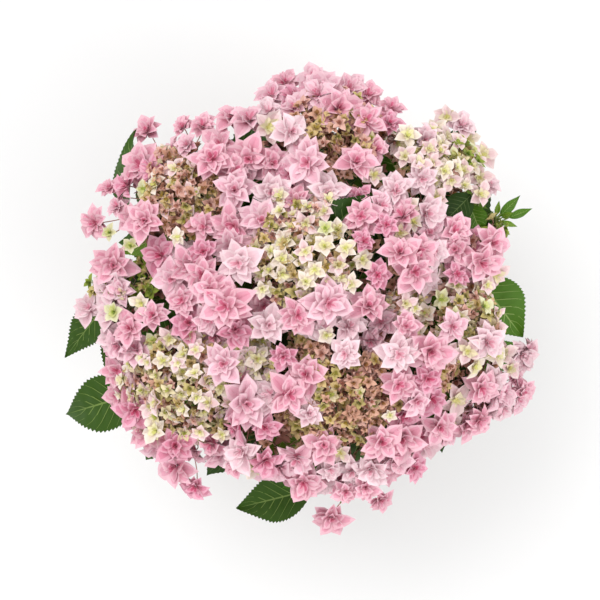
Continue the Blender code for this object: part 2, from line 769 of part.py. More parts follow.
def main():
    for old in list(bpy.data.objects):
        bpy.data.objects.remove(old)
    scene = bpy.context.scene
    plant = bpy.data.collections.new("hydrangea_shrub")
    cutters = bpy.data.collections.new("cutters")
    scene.collection.children.link(plant)
    scene.collection.children.link(cutters)

    terracotta = material("terracotta", (0.55, 0.24, 0.13), 0.85)
    compost = material("compost", (0.045, 0.030, 0.020), 0.95)
    bark = material("bark", (0.20, 0.13, 0.08), 0.85)
    leaf = material("leaf", (0.035, 0.110, 0.025), 0.50)
    petals = {tone: material(f"petal_{tone}", colour, 0.60) for tone, colour in TONES.items()}

    pot = make_pot(plant, cutters, terracotta)
    make_compost(plant, compost)
    make_stool(plant, bark)
    graph = bpy.context.evaluated_depsgraph_get()
    pot_guard = tree_of(bpy.data.meshes.new_from_object(pot.evaluated_get(graph)))

    heads = [Head(row) for row in HEADS]
    divide_crown(heads)
    knuckles, cane_guards = make_canes(heads, plant, bark)
    plan_shoots(heads, knuckles)
    taken = []
    for head in heads:
        body = make_head(head, taken, plant, petals[head.tone])
        own_head = tree_of(body.data)
        others = [other.guard for other in heads if other is not head]
        make_shoot(head, [pot_guard, own_head, *cane_guards, *others], plant, leaf)


main()
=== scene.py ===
import itertools
import json
import math
import random

import bmesh
import bpy
import numpy as np
from mathutils import Matrix, Quaternion, Vector, noise
from mathutils.bvhtree import BVHTree

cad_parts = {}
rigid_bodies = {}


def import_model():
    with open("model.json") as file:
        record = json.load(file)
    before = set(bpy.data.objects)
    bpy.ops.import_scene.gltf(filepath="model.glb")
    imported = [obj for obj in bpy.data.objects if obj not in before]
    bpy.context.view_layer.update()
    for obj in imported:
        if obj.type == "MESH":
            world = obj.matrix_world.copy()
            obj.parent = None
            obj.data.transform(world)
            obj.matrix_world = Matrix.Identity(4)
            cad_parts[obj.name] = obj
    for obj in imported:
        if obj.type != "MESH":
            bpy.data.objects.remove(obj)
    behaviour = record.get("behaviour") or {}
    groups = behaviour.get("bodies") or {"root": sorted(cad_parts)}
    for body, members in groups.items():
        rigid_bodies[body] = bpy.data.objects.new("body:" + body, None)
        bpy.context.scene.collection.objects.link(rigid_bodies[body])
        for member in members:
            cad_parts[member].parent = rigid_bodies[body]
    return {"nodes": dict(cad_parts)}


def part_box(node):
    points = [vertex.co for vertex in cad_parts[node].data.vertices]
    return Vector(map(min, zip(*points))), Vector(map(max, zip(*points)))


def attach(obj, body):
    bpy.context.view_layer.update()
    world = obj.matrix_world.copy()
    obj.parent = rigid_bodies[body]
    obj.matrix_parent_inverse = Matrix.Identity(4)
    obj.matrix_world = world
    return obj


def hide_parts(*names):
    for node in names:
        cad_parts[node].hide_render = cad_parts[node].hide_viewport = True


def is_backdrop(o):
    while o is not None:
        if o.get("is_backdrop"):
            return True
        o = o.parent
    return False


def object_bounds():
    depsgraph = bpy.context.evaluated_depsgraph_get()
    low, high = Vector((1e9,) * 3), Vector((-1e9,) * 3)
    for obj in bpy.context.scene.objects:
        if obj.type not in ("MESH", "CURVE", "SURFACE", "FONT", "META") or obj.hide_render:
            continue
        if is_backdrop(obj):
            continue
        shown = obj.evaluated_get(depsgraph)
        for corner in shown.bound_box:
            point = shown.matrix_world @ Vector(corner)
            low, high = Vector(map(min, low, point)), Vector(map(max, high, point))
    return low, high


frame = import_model()
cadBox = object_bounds()
scene = bpy.context.scene
up = Vector((0, 0, 1))
fullTurn = 2 * math.pi
screenGamma = 2.2
weldGap = 1e-6
perMetre = 1000                  # many places are written in millimetres
seed = 71


# node graphs, for shaders and for geometry

def operator(operation, reflected=False):
    def combine(self, other):
        pair = (other, self) if reflected else (self, other)
        made = self.graph.node("ShaderNodeMath", {"operation": operation}, dict(enumerate(pair)))
        return Signal(self.graph, made.outputs[0])
    return combine


class Signal:
    # a value on its way through a graph; each operator adds a Math node
    def __init__(self, graph, socket):
        self.graph = graph
        self.socket = socket

    __add__ = operator("ADD")
    __radd__ = operator("ADD", True)
    __sub__ = operator("SUBTRACT")
    __rsub__ = operator("SUBTRACT", True)
    __mul__ = operator("MULTIPLY")
    __rmul__ = operator("MULTIPLY", True)


class Graph:
    # every node comes from node(): its settings are set first, then its sockets' values or links
    def __init__(self, tree):
        self.tree = tree

    def node(self, kind, settings=None, values=None):
        made = self.tree.nodes.new(kind)
        for key, setting in (settings or {}).items():
            if key == "stops":
                self.fillRamp(made.color_ramp, setting)
            else:
                setattr(made, key, setting)
        for key, value in (values or {}).items():
            self.feed(made.inputs[key], value)
        return made

    def feed(self, socket, value):
        if isinstance(value, Signal):
            value = value.socket
        if isinstance(value, bpy.types.NodeSocket):
            self.tree.links.new(value, socket)
        else:
            socket.default_value = value

    def fillRamp(self, ramp, stops):
        while len(ramp.elements) < len(stops):
            ramp.elements.new(0.5)
        for element, (position, colour) in zip(ramp.elements, stops):
            element.position = position
            element.color = (*colour, 1.0)

    def named(self, key, kind):
        made = self.node("GeometryNodeInputNamedAttribute", {"data_type": kind}, {"Name": key})
        return Signal(self, made.outputs["Attribute"])


class Finish(Graph):
    # a material while it is being made
    def __init__(self, name, colour, roughness, **constants):
        self.material = bpy.data.materials.new(name)
        self.material.use_nodes = True
        super().__init__(self.material.node_tree)
        self.shade(Base_Color=(*colour, 1.0), Roughness=roughness, **constants)

    def shade(self, **values):
        # feeds the shader's sockets, whose names are written here with _ for a space
        for socket, value in values.items():
            self.feed(self.tree.nodes["Principled BSDF"].inputs[socket.replace("_", " ")], value)

    def place(self, scale=(1, 1, 1)):
        spot = self.node("ShaderNodeTexCoord").outputs["Object"]
        return self.node("ShaderNodeMapping", None, {"Vector": spot, "Scale": scale}).outputs[0]

    def noise(self, scale, detail=4.0, stretch=(1, 1, 1), rough=0.5):
        made = self.node("ShaderNodeTexNoise", None, {
            "Vector": self.place(stretch), "Scale": scale, "Detail": detail, "Roughness": rough})
        return Signal(self, made.outputs["Fac"])

    def ramp(self, factor, stops):
        made = self.node("ShaderNodeValToRGB", {"stops": stops}, {"Fac": factor})
        return Signal(self, made.outputs["Color"])

    def mix(self, factor, first, second):
        return self.node("ShaderNodeMix", {"data_type": "RGBA"}, {0: factor, 6: first, 7: second}).outputs[2]

    def bump(self, height, strength, distance):
        made = self.node("ShaderNodeBump", None, {
            "Height": height, "Strength": strength, "Distance": distance})
        self.shade(Normal=made.outputs[0])


def plainFinish(name, screenColour, roughness, **constants):
    colour = [(value / 255) ** screenGamma for value in screenColour]
    return Finish(name, colour, roughness, **constants).material


# mesh helpers

def newObject(name, data, collection=None):
    made = bpy.data.objects.new(name, data)
    (collection or scene.collection).objects.link(made)
    return made


def smoothed(mesh):
    mesh.polygons.foreach_set("use_smooth", [True] * len(mesh.polygons))
    return mesh


def written(bm, mesh):
    bm.to_mesh(mesh)
    bm.free()
    return mesh


def setLayer(mesh, key, kind, domain, values):
    mesh.attributes.new(key, kind, domain).data.foreach_set("value", values)


def meshOf(name, points, faces=(), edges=(), layers=()):
    # layers: name, kind, domain and values of each attribute
    mesh = bpy.data.meshes.new(name)
    mesh.from_pydata(points, edges, faces)
    for layer in layers:
        setLayer(mesh, *layer)
    return smoothed(mesh)


def ringFaces(rows, count):
    faces = []
    for row, side in itertools.product(range(rows - 1), range(count)):
        here, after = row * count + side, row * count + (side + 1) % count
        faces.append((here, after, after + count, here + count))
    return faces


def ringMesh(name, rings, closedEnds=True):
    # skin over rings of equal count; each end is drawn together in one point
    count = len(rings[0])
    points = [point for ring in rings for point in ring]
    faces = ringFaces(len(rings), count)
    if closedEnds:
        for row in (0, len(rings) - 1):
            points.append(sum(rings[row], Vector()) / count)
            for side in range(count):
                faces.append((row * count + side, row * count + (side + 1) % count, len(points) - 1))
    mesh = meshOf(name, points, faces)
    bm = bmesh.new()
    bm.from_mesh(mesh)
    bmesh.ops.remove_doubles(bm, verts=bm.verts, dist=weldGap)
    bmesh.ops.recalc_face_normals(bm, faces=bm.faces)
    return smoothed(written(bm, mesh))


def bladeFaces(rows, columns):
    # a grid from the foot up, drawn together in one last point at the tip: each face with its row and column
    for row, column in itertools.product(range(rows), range(columns - 1)):
        first = row * columns + column
        if row < rows - 1:
            yield (first + 1, first + columns + 1, first + columns, first), row, column
        else:
            yield (first + 1, rows * columns, first), row, column


def finishedPiece(piece, slotName, nodes, materials=()):
    for material in materials:
        piece.data.materials.append(material)
    for spare in ("band", "tone", "shape", "size", "turn", "thick"):
        layer = piece.data.attributes.get(spare)
        if layer:
            piece.data.attributes.remove(layer)
    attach(piece, "root")
    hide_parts(*nodes)
    print(f"  {piece.name}: {sum(len(face.vertices) - 2 for face in piece.data.polygons)} triangles")


def mixed(first, last, share):
    return first + (last - first) * share


def dealt(chance, weights):
    return chance.choices(range(len(weights)), weights)[0]


def polar(bearing, radius, height=0.0):
    angle = math.radians(bearing)
    return Vector((radius * math.cos(angle), radius * math.sin(angle), height))


def frameAlong(axis, upward):
    x = axis.normalized()
    y = upward.cross(x).normalized()
    return Matrix((x, y, x.cross(y))).transposed()


def sideOf(axis):
    helper = up if abs(axis.z) < 0.9 else Vector((1, 0, 0))
    return axis.cross(helper).normalized()


def spun(facing, angle):
    return facing.to_track_quat("Z", "Y") @ Quaternion((0, 0, 1), angle)


def curve(start, control, end, count):
    points = []
    for step in range(count):
        t = step / (count - 1)
        points.append(start * (1 - t) ** 2 + control * 2 * t * (1 - t) + end * t ** 2)
    return points


def bend(start, startDirection, end, count, sweep=0.45):
    # a curve that leaves start along startDirection
    return curve(start, start + startDirection * (end - start).length * sweep, end, count)


def along(points, share):
    place = share * (len(points) - 1)
    index = min(int(place), len(points) - 2)
    step = points[index + 1] - points[index]
    return points[index] + step * (place - index), step.normalized()


# geometry nodes: copies of shapes on points, and tubes along edges

def setMaterials(graph, geometry, materials, bandCount):
    # material number = tone * bandCount + band, each dealt out by a Set Material node of its own
    number = graph.named("tone", "INT") * bandCount + graph.named("band", "INT")
    for index, material in enumerate(materials):
        chosen = graph.node(
            "FunctionNodeCompare", {"data_type": "FLOAT", "operation": "EQUAL"},
            {0: number, 1: float(index), "Epsilon": 0.25})
        geometry = graph.node("GeometryNodeSetMaterial", None, {
            "Geometry": geometry, "Selection": chosen.outputs[0], "Material": material}).outputs[0]
    return geometry


def throughTree(name, mesh, grow, inputs, materials, bandCount):
    # runs a mesh through a node tree and keeps the result as a plain mesh; inputs: kind and value of each
    tree = bpy.data.node_groups.new(name + "Tree", "GeometryNodeTree")
    tree.interface.new_socket("Geometry", in_out="OUTPUT", socket_type="NodeSocketGeometry")
    tree.interface.new_socket("Geometry", in_out="INPUT", socket_type="NodeSocketGeometry")
    identifiers = {}
    for label, (kind, _) in inputs.items():
        socket = tree.interface.new_socket(label, in_out="INPUT", socket_type="NodeSocket" + kind)
        identifiers[label] = socket.identifier
    graph = Graph(tree)
    grown = grow(graph, graph.node("NodeGroupInput").outputs)
    real = graph.node("GeometryNodeRealizeInstances", None, {"Geometry": grown}).outputs[0]
    graph.feed(graph.node("NodeGroupOutput").inputs[0], setMaterials(graph, real, materials, bandCount))

    source = newObject(name, mesh)
    modifier = source.modifiers.new("nodes", "NODES")
    modifier.node_group = tree
    for label, (_, value) in inputs.items():
        modifier[identifiers[label]] = value
    plain = bpy.data.meshes.new_from_object(source.evaluated_get(bpy.context.evaluated_depsgraph_get()))
    plain.name = name
    source.modifiers.remove(modifier)
    source.data = plain
    bpy.data.meshes.remove(mesh)
    return source


def growCopies(graph, given):
    shapes = graph.node("GeometryNodeCollectionInfo", None, {
        "Collection": given["Shapes"], "Separate Children": True, "Reset Children": True})
    uneven = Signal(graph, given["Uneven"])
    chance = graph.node("FunctionNodeRandomValue", {"data_type": "FLOAT"}, {
        2: 1 - uneven, 3: 1 + uneven, "Seed": given["Seed"]})
    size = graph.named("size", "FLOAT") * given["Scale"] * chance.outputs[1]
    return graph.node("GeometryNodeInstanceOnPoints", None, {
        "Points": given["Geometry"], "Instance": shapes.outputs[0], "Pick Instance": True,
        "Instance Index": graph.named("shape", "INT"), "Rotation": graph.named("turn", "QUATERNION"),
        "Scale": size}).outputs[0]


def growTubes(graph, given):
    curves = graph.node("GeometryNodeMeshToCurve", None, {"Mesh": given["Geometry"]})
    ring = graph.node("GeometryNodeCurvePrimitiveCircle", None, {"Resolution": given["Sides"], "Radius": 1.0})
    tubes = graph.node("GeometryNodeCurveToMesh", None, {
        "Curve": curves.outputs[0], "Profile Curve": ring.outputs[0],
        "Scale": graph.named("thick", "FLOAT") * given["Thickness"], "Fill Caps": True})
    return graph.node("GeometryNodeSetShadeSmooth", None, {"Geometry": tubes.outputs[0]}).outputs[0]


def scattered(name, spots, shapes, materials, bandCount, uneven=0.0):
    # spots: (place, turn, size, shape, tone); shapes: meshes that carry a band on each face
    places, turns, sizes, kinds, tones = zip(*spots)
    mesh = meshOf(name, places, layers=(
        ("turn", "QUATERNION", "POINT", [value for turn in turns for value in turn]),
        ("size", "FLOAT", "POINT", sizes), ("shape", "INT", "POINT", kinds), ("tone", "INT", "POINT", tones)))
    family = bpy.data.collections.new(name + "Shapes")
    for index, shape in enumerate(shapes):
        newObject(f"{name}{index:02d}", shape, family)
    piece = throughTree(name, mesh, growCopies, {
        "Shapes": ("Collection", family), "Scale": ("Float", 1.0), "Uneven": ("Float", uneven),
        "Seed": ("Int", seed)}, materials, bandCount)
    for spare in list(family.objects):
        bpy.data.objects.remove(spare)
    bpy.data.collections.remove(family)
    return piece


def tubed(name, lines, materials, sides):
    # lines: (points, radii, tone)
    points, edges, thick, tone = [], [], [], []
    for line, radii, shade in lines:
        edges += [(len(points) + step, len(points) + step + 1) for step in range(len(line) - 1)]
        points += line
        thick += radii
        tone += [shade] * len(line)
    mesh = meshOf(name, points, edges=edges, layers=(
        ("thick", "FLOAT", "POINT", thick), ("tone", "INT", "POINT", tone)))
    return throughTree(name, mesh, growTubes, {
        "Sides": ("Int", sides), "Thickness": ("Float", 1.0)}, materials, 1)


# the crown's plan: the same rule and sizes as the solids

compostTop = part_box("compost")[1].z
growthCentre = Vector((0, 0, compostTop + 0.010))
crown = {"top": 0.440, "radius": 0.236, "waist": 0.275, "planPower": 2.2, "bulge": 0.080, "bulgeEnd": 1.2,
         "roundness": 1.4, "edge": 0.99, "lowest": 0.285, "reachSteps": 18}
crownDepth = crown["top"] - crown["waist"]

# bearing and plan radius of each head's top, its spread, and the cane it grows from
headPlan = {
    "a": (140, 0.168, 0.066, 0), "g": (183, 0.194, 0.052, 0), "e": (172, 0.081, 0.046, 0),
    "b": (80, 0.176, 0.074, 1), "c": (46, 0.205, 0.062, 1), "d": (92, 0.048, 0.066, 1),
    "k": (33, 0.107, 0.047, 2), "l": (14, 0.196, 0.047, 2), "m": (-11, 0.178, 0.054, 2),
    "n": (-29, 0.222, 0.052, 3), "o": (-30, 0.127, 0.048, 3), "p": (-67, 0.200, 0.060, 3),
    "h": (-62, 0.101, 0.062, 4), "i": (-105, 0.146, 0.052, 4), "f": (-146, 0.160, 0.074, 4)}

# caneBearings: bearing and lean of each cane as it leaves the stool
limbs = {"caneBearings": ((160, 36), (68, 34), (10, 36), (-46, 38), (-110, 34)), "caneReach": 0.36,
         "caneFoot": 0.0048, "caneNeck": 0.0038, "knuckle": 0.0088, "stoolMiddle": 0.022, "stoolHead": 0.023,
         "shootFoot": 0.0026, "shootTip": 0.0019, "splay": 0.55, "headDepth": 0.74, "headTilt": 0.80,
         "peduncle": 0.022, "neck": 0.006}


def crownHeight(radius):
    share = min(radius / crown["radius"], crown["edge"])
    return crown["waist"] + crownDepth * math.sqrt(1 - share ** crown["planPower"])


def crownShares(point):
    return point.xy.length / crown["radius"], (point.z - crown["waist"]) / crownDepth


def crownValue(point):
    # below 1 inside the crown's surface
    plan, rise = crownShares(point)
    return plan ** crown["planPower"] + rise * rise


def crownFacing(point):
    plan, rise = crownShares(point)
    outward = crown["planPower"] * plan ** (crown["planPower"] - 1) / crown["radius"]
    upward = 2 * rise / crownDepth
    flat = Vector((point.x, point.y, 0)).normalized()
    return (flat * outward + up * upward).normalized()


def crownReach(direction):
    low, high = 0.0, crown["top"]
    for _ in range(crown["reachSteps"]):
        middle = (low + high) / 2
        if crownValue(growthCentre + direction * middle) < 1:
            low = middle
        else:
            high = middle
    return low


class Head:
    # one flower head with its shoot: where it stands and how wide it is
    def __init__(self, name, bearing, radius, spread, cane):
        self.name = name
        self.spread = spread
        self.cane = cane
        self.top = polar(bearing, radius, crownHeight(radius))
        self.direction = (self.top - growthCentre).normalized()
        self.width = self.spread / (self.top - growthCentre).length
        self.axis = (self.direction * limbs["headTilt"] + up * (1 - limbs["headTilt"])).normalized()
        self.fork = self.top - self.axis * self.spread * limbs["headDepth"]
        self.foot = self.fork - self.axis * limbs["peduncle"]
        self.planes = []
        self.random = random.Random(f"{seed}-{name}")
        self.florets = []

    def keepClearOf(self, other):
        edge = self.direction.slerp(other.direction, self.spread / (self.spread + other.spread))
        self.planes.append((other.direction - edge * other.direction.dot(edge)).normalized())


heads = [Head(name, *plan) for name, plan in headPlan.items()]
for head, other in itertools.permutations(heads, 2):
    head.keepClearOf(other)
nodesOf = {kind: [name for name in frame["nodes"] if name.startswith(kind)] for kind in (
    "cane", "leafy_shoot", "flower_head")}


# pot: a turned profile with rounded edges and drain holes

print("pot")
# rimSlope: how far in and how far down the rim's outer face is at two points, as shares of step and rim
pot = {"height": 0.180, "footRadius": 0.068, "bodyRadius": 0.090, "rimRadius": 0.100, "rimHeight": 0.032,
       "wall": 0.007, "floor": 0.010, "lip": 0.003, "step": 0.002, "bead": 0.6,
       "rimSlope": ((0.4, 0.35), (0.8, 0.7)), "undercut": (0.001, 0.0005), "wallFoot": (0.0008, 0.004),
       "footInset": 0.0022, "footEdge": 0.0030, "steps": 96, "innerSteps": 8, "outerSteps": 10,
       "sharpFrom": 50, "drainHoles": 3, "drainRadius": 0.006, "drainCircle": 0.038, "drainBearing": 45,
       "drainSides": 32}


def innerRadius(height):
    share = (height - pot["floor"]) / (pot["height"] - pot["floor"])
    return mixed(pot["footRadius"] - pot["wall"], pot["bodyRadius"] + pot["step"] - pot["wall"], share)


def arc(centreRadius, centreHeight, radius, fromDegrees, toDegrees, count=5):
    points = []
    for step in range(count):
        spot = polar(mixed(fromDegrees, toDegrees, step / (count - 1)), radius)
        points.append((centreRadius + spot.x, centreHeight + spot.y))
    return points


def potMesh():
    lip, step, edge = pot["lip"], pot["step"], pot["footEdge"]
    bandFoot = pot["height"] - pot["rimHeight"]
    top = pot["height"] - lip
    bead = lip * pot["bead"]
    inward, rise = pot["wallFoot"]
    profile = [(0.0, pot["floor"])]
    profile += arc(innerRadius(pot["floor"]) - lip, pot["floor"] + lip, lip, -90, 0)
    for index in range(1, pot["innerSteps"]):
        height = mixed(pot["floor"], top, index / pot["innerSteps"])
        profile.append((innerRadius(height), height))
    profile += arc(innerRadius(top) + lip, top, lip, 180, 90)
    profile += arc(pot["rimRadius"] - lip, top, lip, 90, 0)
    profile += [(pot["rimRadius"] - step * near, pot["height"] - pot["rimHeight"] * down)
                for near, down in pot["rimSlope"]]
    profile += arc(pot["rimRadius"] - step - bead, bandFoot + bead, bead, 0, -80)
    profile.append((pot["bodyRadius"] + pot["undercut"][0], bandFoot + pot["undercut"][1]))
    for index in range(pot["outerSteps"] + 1):
        share = index / pot["outerSteps"]
        profile.append((mixed(pot["bodyRadius"], pot["footRadius"] + inward, share),
                        mixed(bandFoot - step, rise, share)))
    profile += arc(pot["footRadius"] - pot["footInset"], edge, edge, -10, -90, 4)
    profile.append((0.0, 0.0))
    rings = [[polar(360 * turn / pot["steps"], radius, height) for turn in range(pot["steps"])]
             for radius, height in profile]
    return ringMesh("potShell", rings, closedEnds=False)


def drainCutter():
    bm = bmesh.new()
    for hole in range(pot["drainHoles"]):
        spot = polar(pot["drainBearing"] + 360 * hole / pot["drainHoles"], pot["drainCircle"])
        bmesh.ops.create_cone(
            bm, cap_ends=True, segments=pot["drainSides"], radius1=pot["drainRadius"],
            radius2=pot["drainRadius"], depth=4 * pot["floor"], matrix=Matrix.Translation(spot))
    return newObject("drains", written(bm, bpy.data.meshes.new("drains")))


# noises: scale and detail, then stretch and roughness where they aren't plain; bump: strength and depth
clay = {"plain": ((0.50, 0.20, 0.10), 0.85), "noise": (14, 6), "tints": [
            (0.30, (0.42, 0.155, 0.075)), (0.55, (0.54, 0.225, 0.12)), (0.78, (0.62, 0.30, 0.18))],
        "bloomNoise": (26, 8, (1, 1, 0.6), 0.65), "bloom": [(0.52, (0, 0, 0)), (0.70, (1, 1, 1))],
        "lime": (0.45, (0.70, 0.56, 0.46, 1)), "speckNoise": (420, 2), "speck": (0.35, (0.34, 0.12, 0.06, 1)),
        "roughNoise": (60, 3), "roughness": (0.78, 0.18), "grainNoise": (650, 3), "grain": 0.6,
        "rings": {"Scale": 95.0, "Distortion": 1.2, "Detail": 2.0, "Detail Scale": 0.5}, "ringDepth": 0.4,
        "bump": (0.30, 0.0006)}


def terracottaFinish():
    made = Finish("terracotta", *clay["plain"])
    tint = made.ramp(made.noise(*clay["noise"]), clay["tints"])
    for pattern, (share, colour) in (
            (made.ramp(made.noise(*clay["bloomNoise"]), clay["bloom"]), clay["lime"]),
            (made.noise(*clay["speckNoise"]), clay["speck"])):
        tint = made.mix(pattern * share, tint, colour)
    least, more = clay["roughness"]
    made.shade(Base_Color=tint, Roughness=least + made.noise(*clay["roughNoise"]) * more)
    rings = made.node("ShaderNodeTexWave", {"bands_direction": "Z"}, {
        "Vector": made.place(), **clay["rings"]})
    relief = Signal(made, rings.outputs["Fac"]) * clay["ringDepth"]
    made.bump(relief + made.noise(*clay["grainNoise"]) * clay["grain"], *clay["bump"])
    return made.material


potPiece = newObject("potShell", potMesh())
cutter = drainCutter()
cut = potPiece.modifiers.new("drain", "BOOLEAN")
cut.operation = "DIFFERENCE"
cut.object = cutter
plain = bpy.data.meshes.new_from_object(potPiece.evaluated_get(bpy.context.evaluated_depsgraph_get()))
potPiece.modifiers.clear()
potPiece.data = smoothed(plain)
potPiece.data.set_sharp_from_angle(angle=math.radians(pot["sharpFrom"]))
bpy.data.objects.remove(cutter)
finishedPiece(potPiece, "terracotta", ["pot"], [terracottaFinish()])


# compost: an uneven fill with chips of bark on it

print("compost")
# lumps: scale, phase and weight of each noise
compost = {"dip": 0.004, "gap": 0.0004, "sunk": 0.0015, "steps": 84, "rings": 26, "unevenness": 0.0022,
           "lumps": ((60, 1, 1.0), (190, 5, 0.5)), "calmFrom": 1.6, "footRise": 0.002}
chipPlan = {"count": 620, "sizes": (0.0028, 0.0085), "scale": 0.7, "uneven": 0.2, "shapes": 6, "corners": 11,
            "form": (1, 0.62, 0.30), "nearest": 0.026, "furthest": 0.95, "lean": 0.3, "turn": 6.28,
            "rise": 0.12, "tones": (5, 4, 1), "finishes": (
                ("chipDark", (58, 40, 28), 0.9), ("chipBrown", (96, 66, 44), 0.88),
                ("chipPale", (142, 108, 78), 0.85))}


def onCompost(spot):
    # the spot raised to the compost's surface
    share = spot.xy.length / innerRadius(compostTop)
    lump = sum(weight * noise.noise(Vector((spot.x * scale, spot.y * scale, phase)))
               for scale, phase, weight in compost["lumps"])
    height = compostTop - compost["dip"] * share ** 2 - compost["sunk"]
    height += compost["unevenness"] * lump * min(1, compost["calmFrom"] - share)
    return Vector((spot.x, spot.y, height))


def compostMesh():
    def spotsAt(radius, height=0.0):
        return [polar(360 * step / compost["steps"], radius, height) for step in range(compost["steps"])]

    edge = innerRadius(compostTop - compost["dip"]) - compost["gap"]
    floor = pot["floor"] + compost["gap"]
    rings = [[onCompost(spot) for spot in spotsAt(edge * ring / (compost["rings"] - 1))]
             for ring in range(compost["rings"])]
    rings += [spotsAt(innerRadius(floor + compost["footRise"]) - compost["gap"], floor), spotsAt(0.0, floor)]
    return ringMesh("compostFill", rings, closedEnds=False)


def chipMesh(name, chance):
    bm = bmesh.new()
    for _ in range(chipPlan["corners"]):
        point = Vector([chance.uniform(-1, 1) for _ in range(3)]).normalized()
        bm.verts.new(point * Vector(chipPlan["form"]))
    hull = bmesh.ops.convex_hull(bm, input=bm.verts)
    bmesh.ops.delete(bm, geom=hull["geom_interior"], context="VERTS")
    bmesh.ops.recalc_face_normals(bm, faces=bm.faces)
    mesh = written(bm, bpy.data.meshes.new(name))
    mesh.attributes.new("band", "INT", "FACE")
    return mesh


def strewnChips(chance):
    spots = []
    while len(spots) < chipPlan["count"]:
        spot = polar(chance.uniform(0, 360),
                     innerRadius(compostTop) * math.sqrt(chance.random()) * chipPlan["furthest"])
        if spot.length < chipPlan["nearest"]:
            continue
        size = chance.uniform(*chipPlan["sizes"])
        facing = Vector((chance.gauss(0, chipPlan["lean"]), chance.gauss(0, chipPlan["lean"]), 1))
        turn = spun(facing, chance.uniform(0, chipPlan["turn"]))
        tone = dealt(chance, chipPlan["tones"])
        place = onCompost(spot) + up * size * chipPlan["rise"]
        spots.append((place, turn, size * chipPlan["scale"], chance.randrange(chipPlan["shapes"]), tone))
    return spots


soil = {"plain": ((0.04, 0.026, 0.018), 0.95), "noise": (220, 6), "tints": [
            (0.28, (0.012, 0.008, 0.005)), (0.55, (0.055, 0.034, 0.020)), (0.80, (0.13, 0.085, 0.050))],
        "roughNoise": (90, 2), "roughness": (0.84, 0.14), "grainNoise": (320, 6), "bump": (0.9, 0.0025)}


def compostFinish():
    made = Finish("compost", *soil["plain"])
    least, more = soil["roughness"]
    made.shade(Base_Color=made.ramp(made.noise(*soil["noise"]), soil["tints"]),
               Roughness=least + made.noise(*soil["roughNoise"]) * more)
    made.bump(made.noise(*soil["grainNoise"]), *soil["bump"])
    return made.material


finishedPiece(newObject("compostFill", compostMesh()), "compost", ["compost"], [compostFinish()])
chipChance = random.Random(seed)
chipSpots = strewnChips(chipChance)
chipShapes = [chipMesh(f"chip{n}", chipChance) for n in range(chipPlan["shapes"])]
chipFinishes = [plainFinish(*finish) for finish in chipPlan["finishes"]]
chips = scattered("barkChips", chipSpots, chipShapes, chipFinishes, 1, chipPlan["uneven"])
finishedPiece(chips, "compost", ["compost"])


# stool and canes: tubes with the relief of peeling bark

print("stool and canes")
# ridges and lumps: depth, and how fast their noise runs round the limb and along it
bark = {"ridges": (0.10, 2.3 * 1.7, 42), "lumps": (0.056, 2.3 * 0.7, 120)}
stool = {"steps": 60, "rings": 34, "waist": 0.021, "flare": 0.028, "sunk": 0.004, "flareEnd": 0.45,
         "round": 0.6, "tip": 0.0003, "buttresses": 5, "buttressTurn": 1, "buttress": 0.07, "stretch": 1.4}
cane = {"rings": 34, "sides": 18, "rooting": 0.008, "collar": 0.0022, "collarFall": 14, "swell": 0.93,
        "swellFall": 1.4, "capRings": 12, "capTurn": 12.5, "cap": 0.95, "phase": 1.9}
stoolCentre = Vector((0, 0, compostTop + limbs["stoolMiddle"]))


def barkRelief(angle, distance, radius):
    # long ridges that break off here and there
    around = Vector((math.cos(angle), math.sin(angle), 0))
    ridge, lump = [noise.noise(around * across + up * distance * lengthwise)
                   for _, across, lengthwise in (bark["ridges"], bark["lumps"])]
    return radius * (1 + bark["ridges"][0] * (0.5 - 2 * abs(ridge)) + bark["lumps"][0] * lump)


def tubeRings(points, radii, sides, phase=0.0):
    rings = []
    side = sideOf((points[1] - points[0]).normalized())
    distance = 0.0
    for index, (point, radius) in enumerate(zip(points, radii)):
        before = points[max(index - 1, 0)]
        after = points[min(index + 1, len(points) - 1)]
        axis = (after - before).normalized()
        side = (side - axis * side.dot(axis)).normalized()
        other = axis.cross(side)
        distance += (point - before).length
        ring = []
        for step in range(sides):
            angle = fullTurn * step / sides
            reach = barkRelief(angle + phase, distance + phase, radius)
            ring.append(point + (side * math.cos(angle) + other * math.sin(angle)) * reach)
        rings.append(ring)
    return rings


def stoolMesh():
    foot = compostTop - stool["sunk"]
    rings = []
    for index in range(stool["rings"]):
        share = index / (stool["rings"] - 1)
        height = mixed(foot, stoolCentre.z + limbs["stoolHead"], share)
        if share < stool["flareEnd"]:
            radius = mixed(stool["waist"], stool["flare"], (1 - share / stool["flareEnd"]) ** 2)
        else:
            angle = (share - stool["flareEnd"]) / (1 - stool["flareEnd"]) * math.pi / 2
            radius = stool["waist"] * math.cos(angle) ** stool["round"] + stool["tip"]
        ring = []
        for step in range(stool["steps"]):
            angle = fullTurn * step / stool["steps"]
            wave = math.cos(stool["buttresses"] * angle + stool["buttressTurn"])
            thick = radius * (1 + stool["buttress"] * wave * (1 - share))
            reach = barkRelief(angle, height * stool["stretch"], thick)
            ring.append(Vector((reach * math.cos(angle), reach * math.sin(angle), height)))
        rings.append(ring)
    return ringMesh("stoolBark", rings)


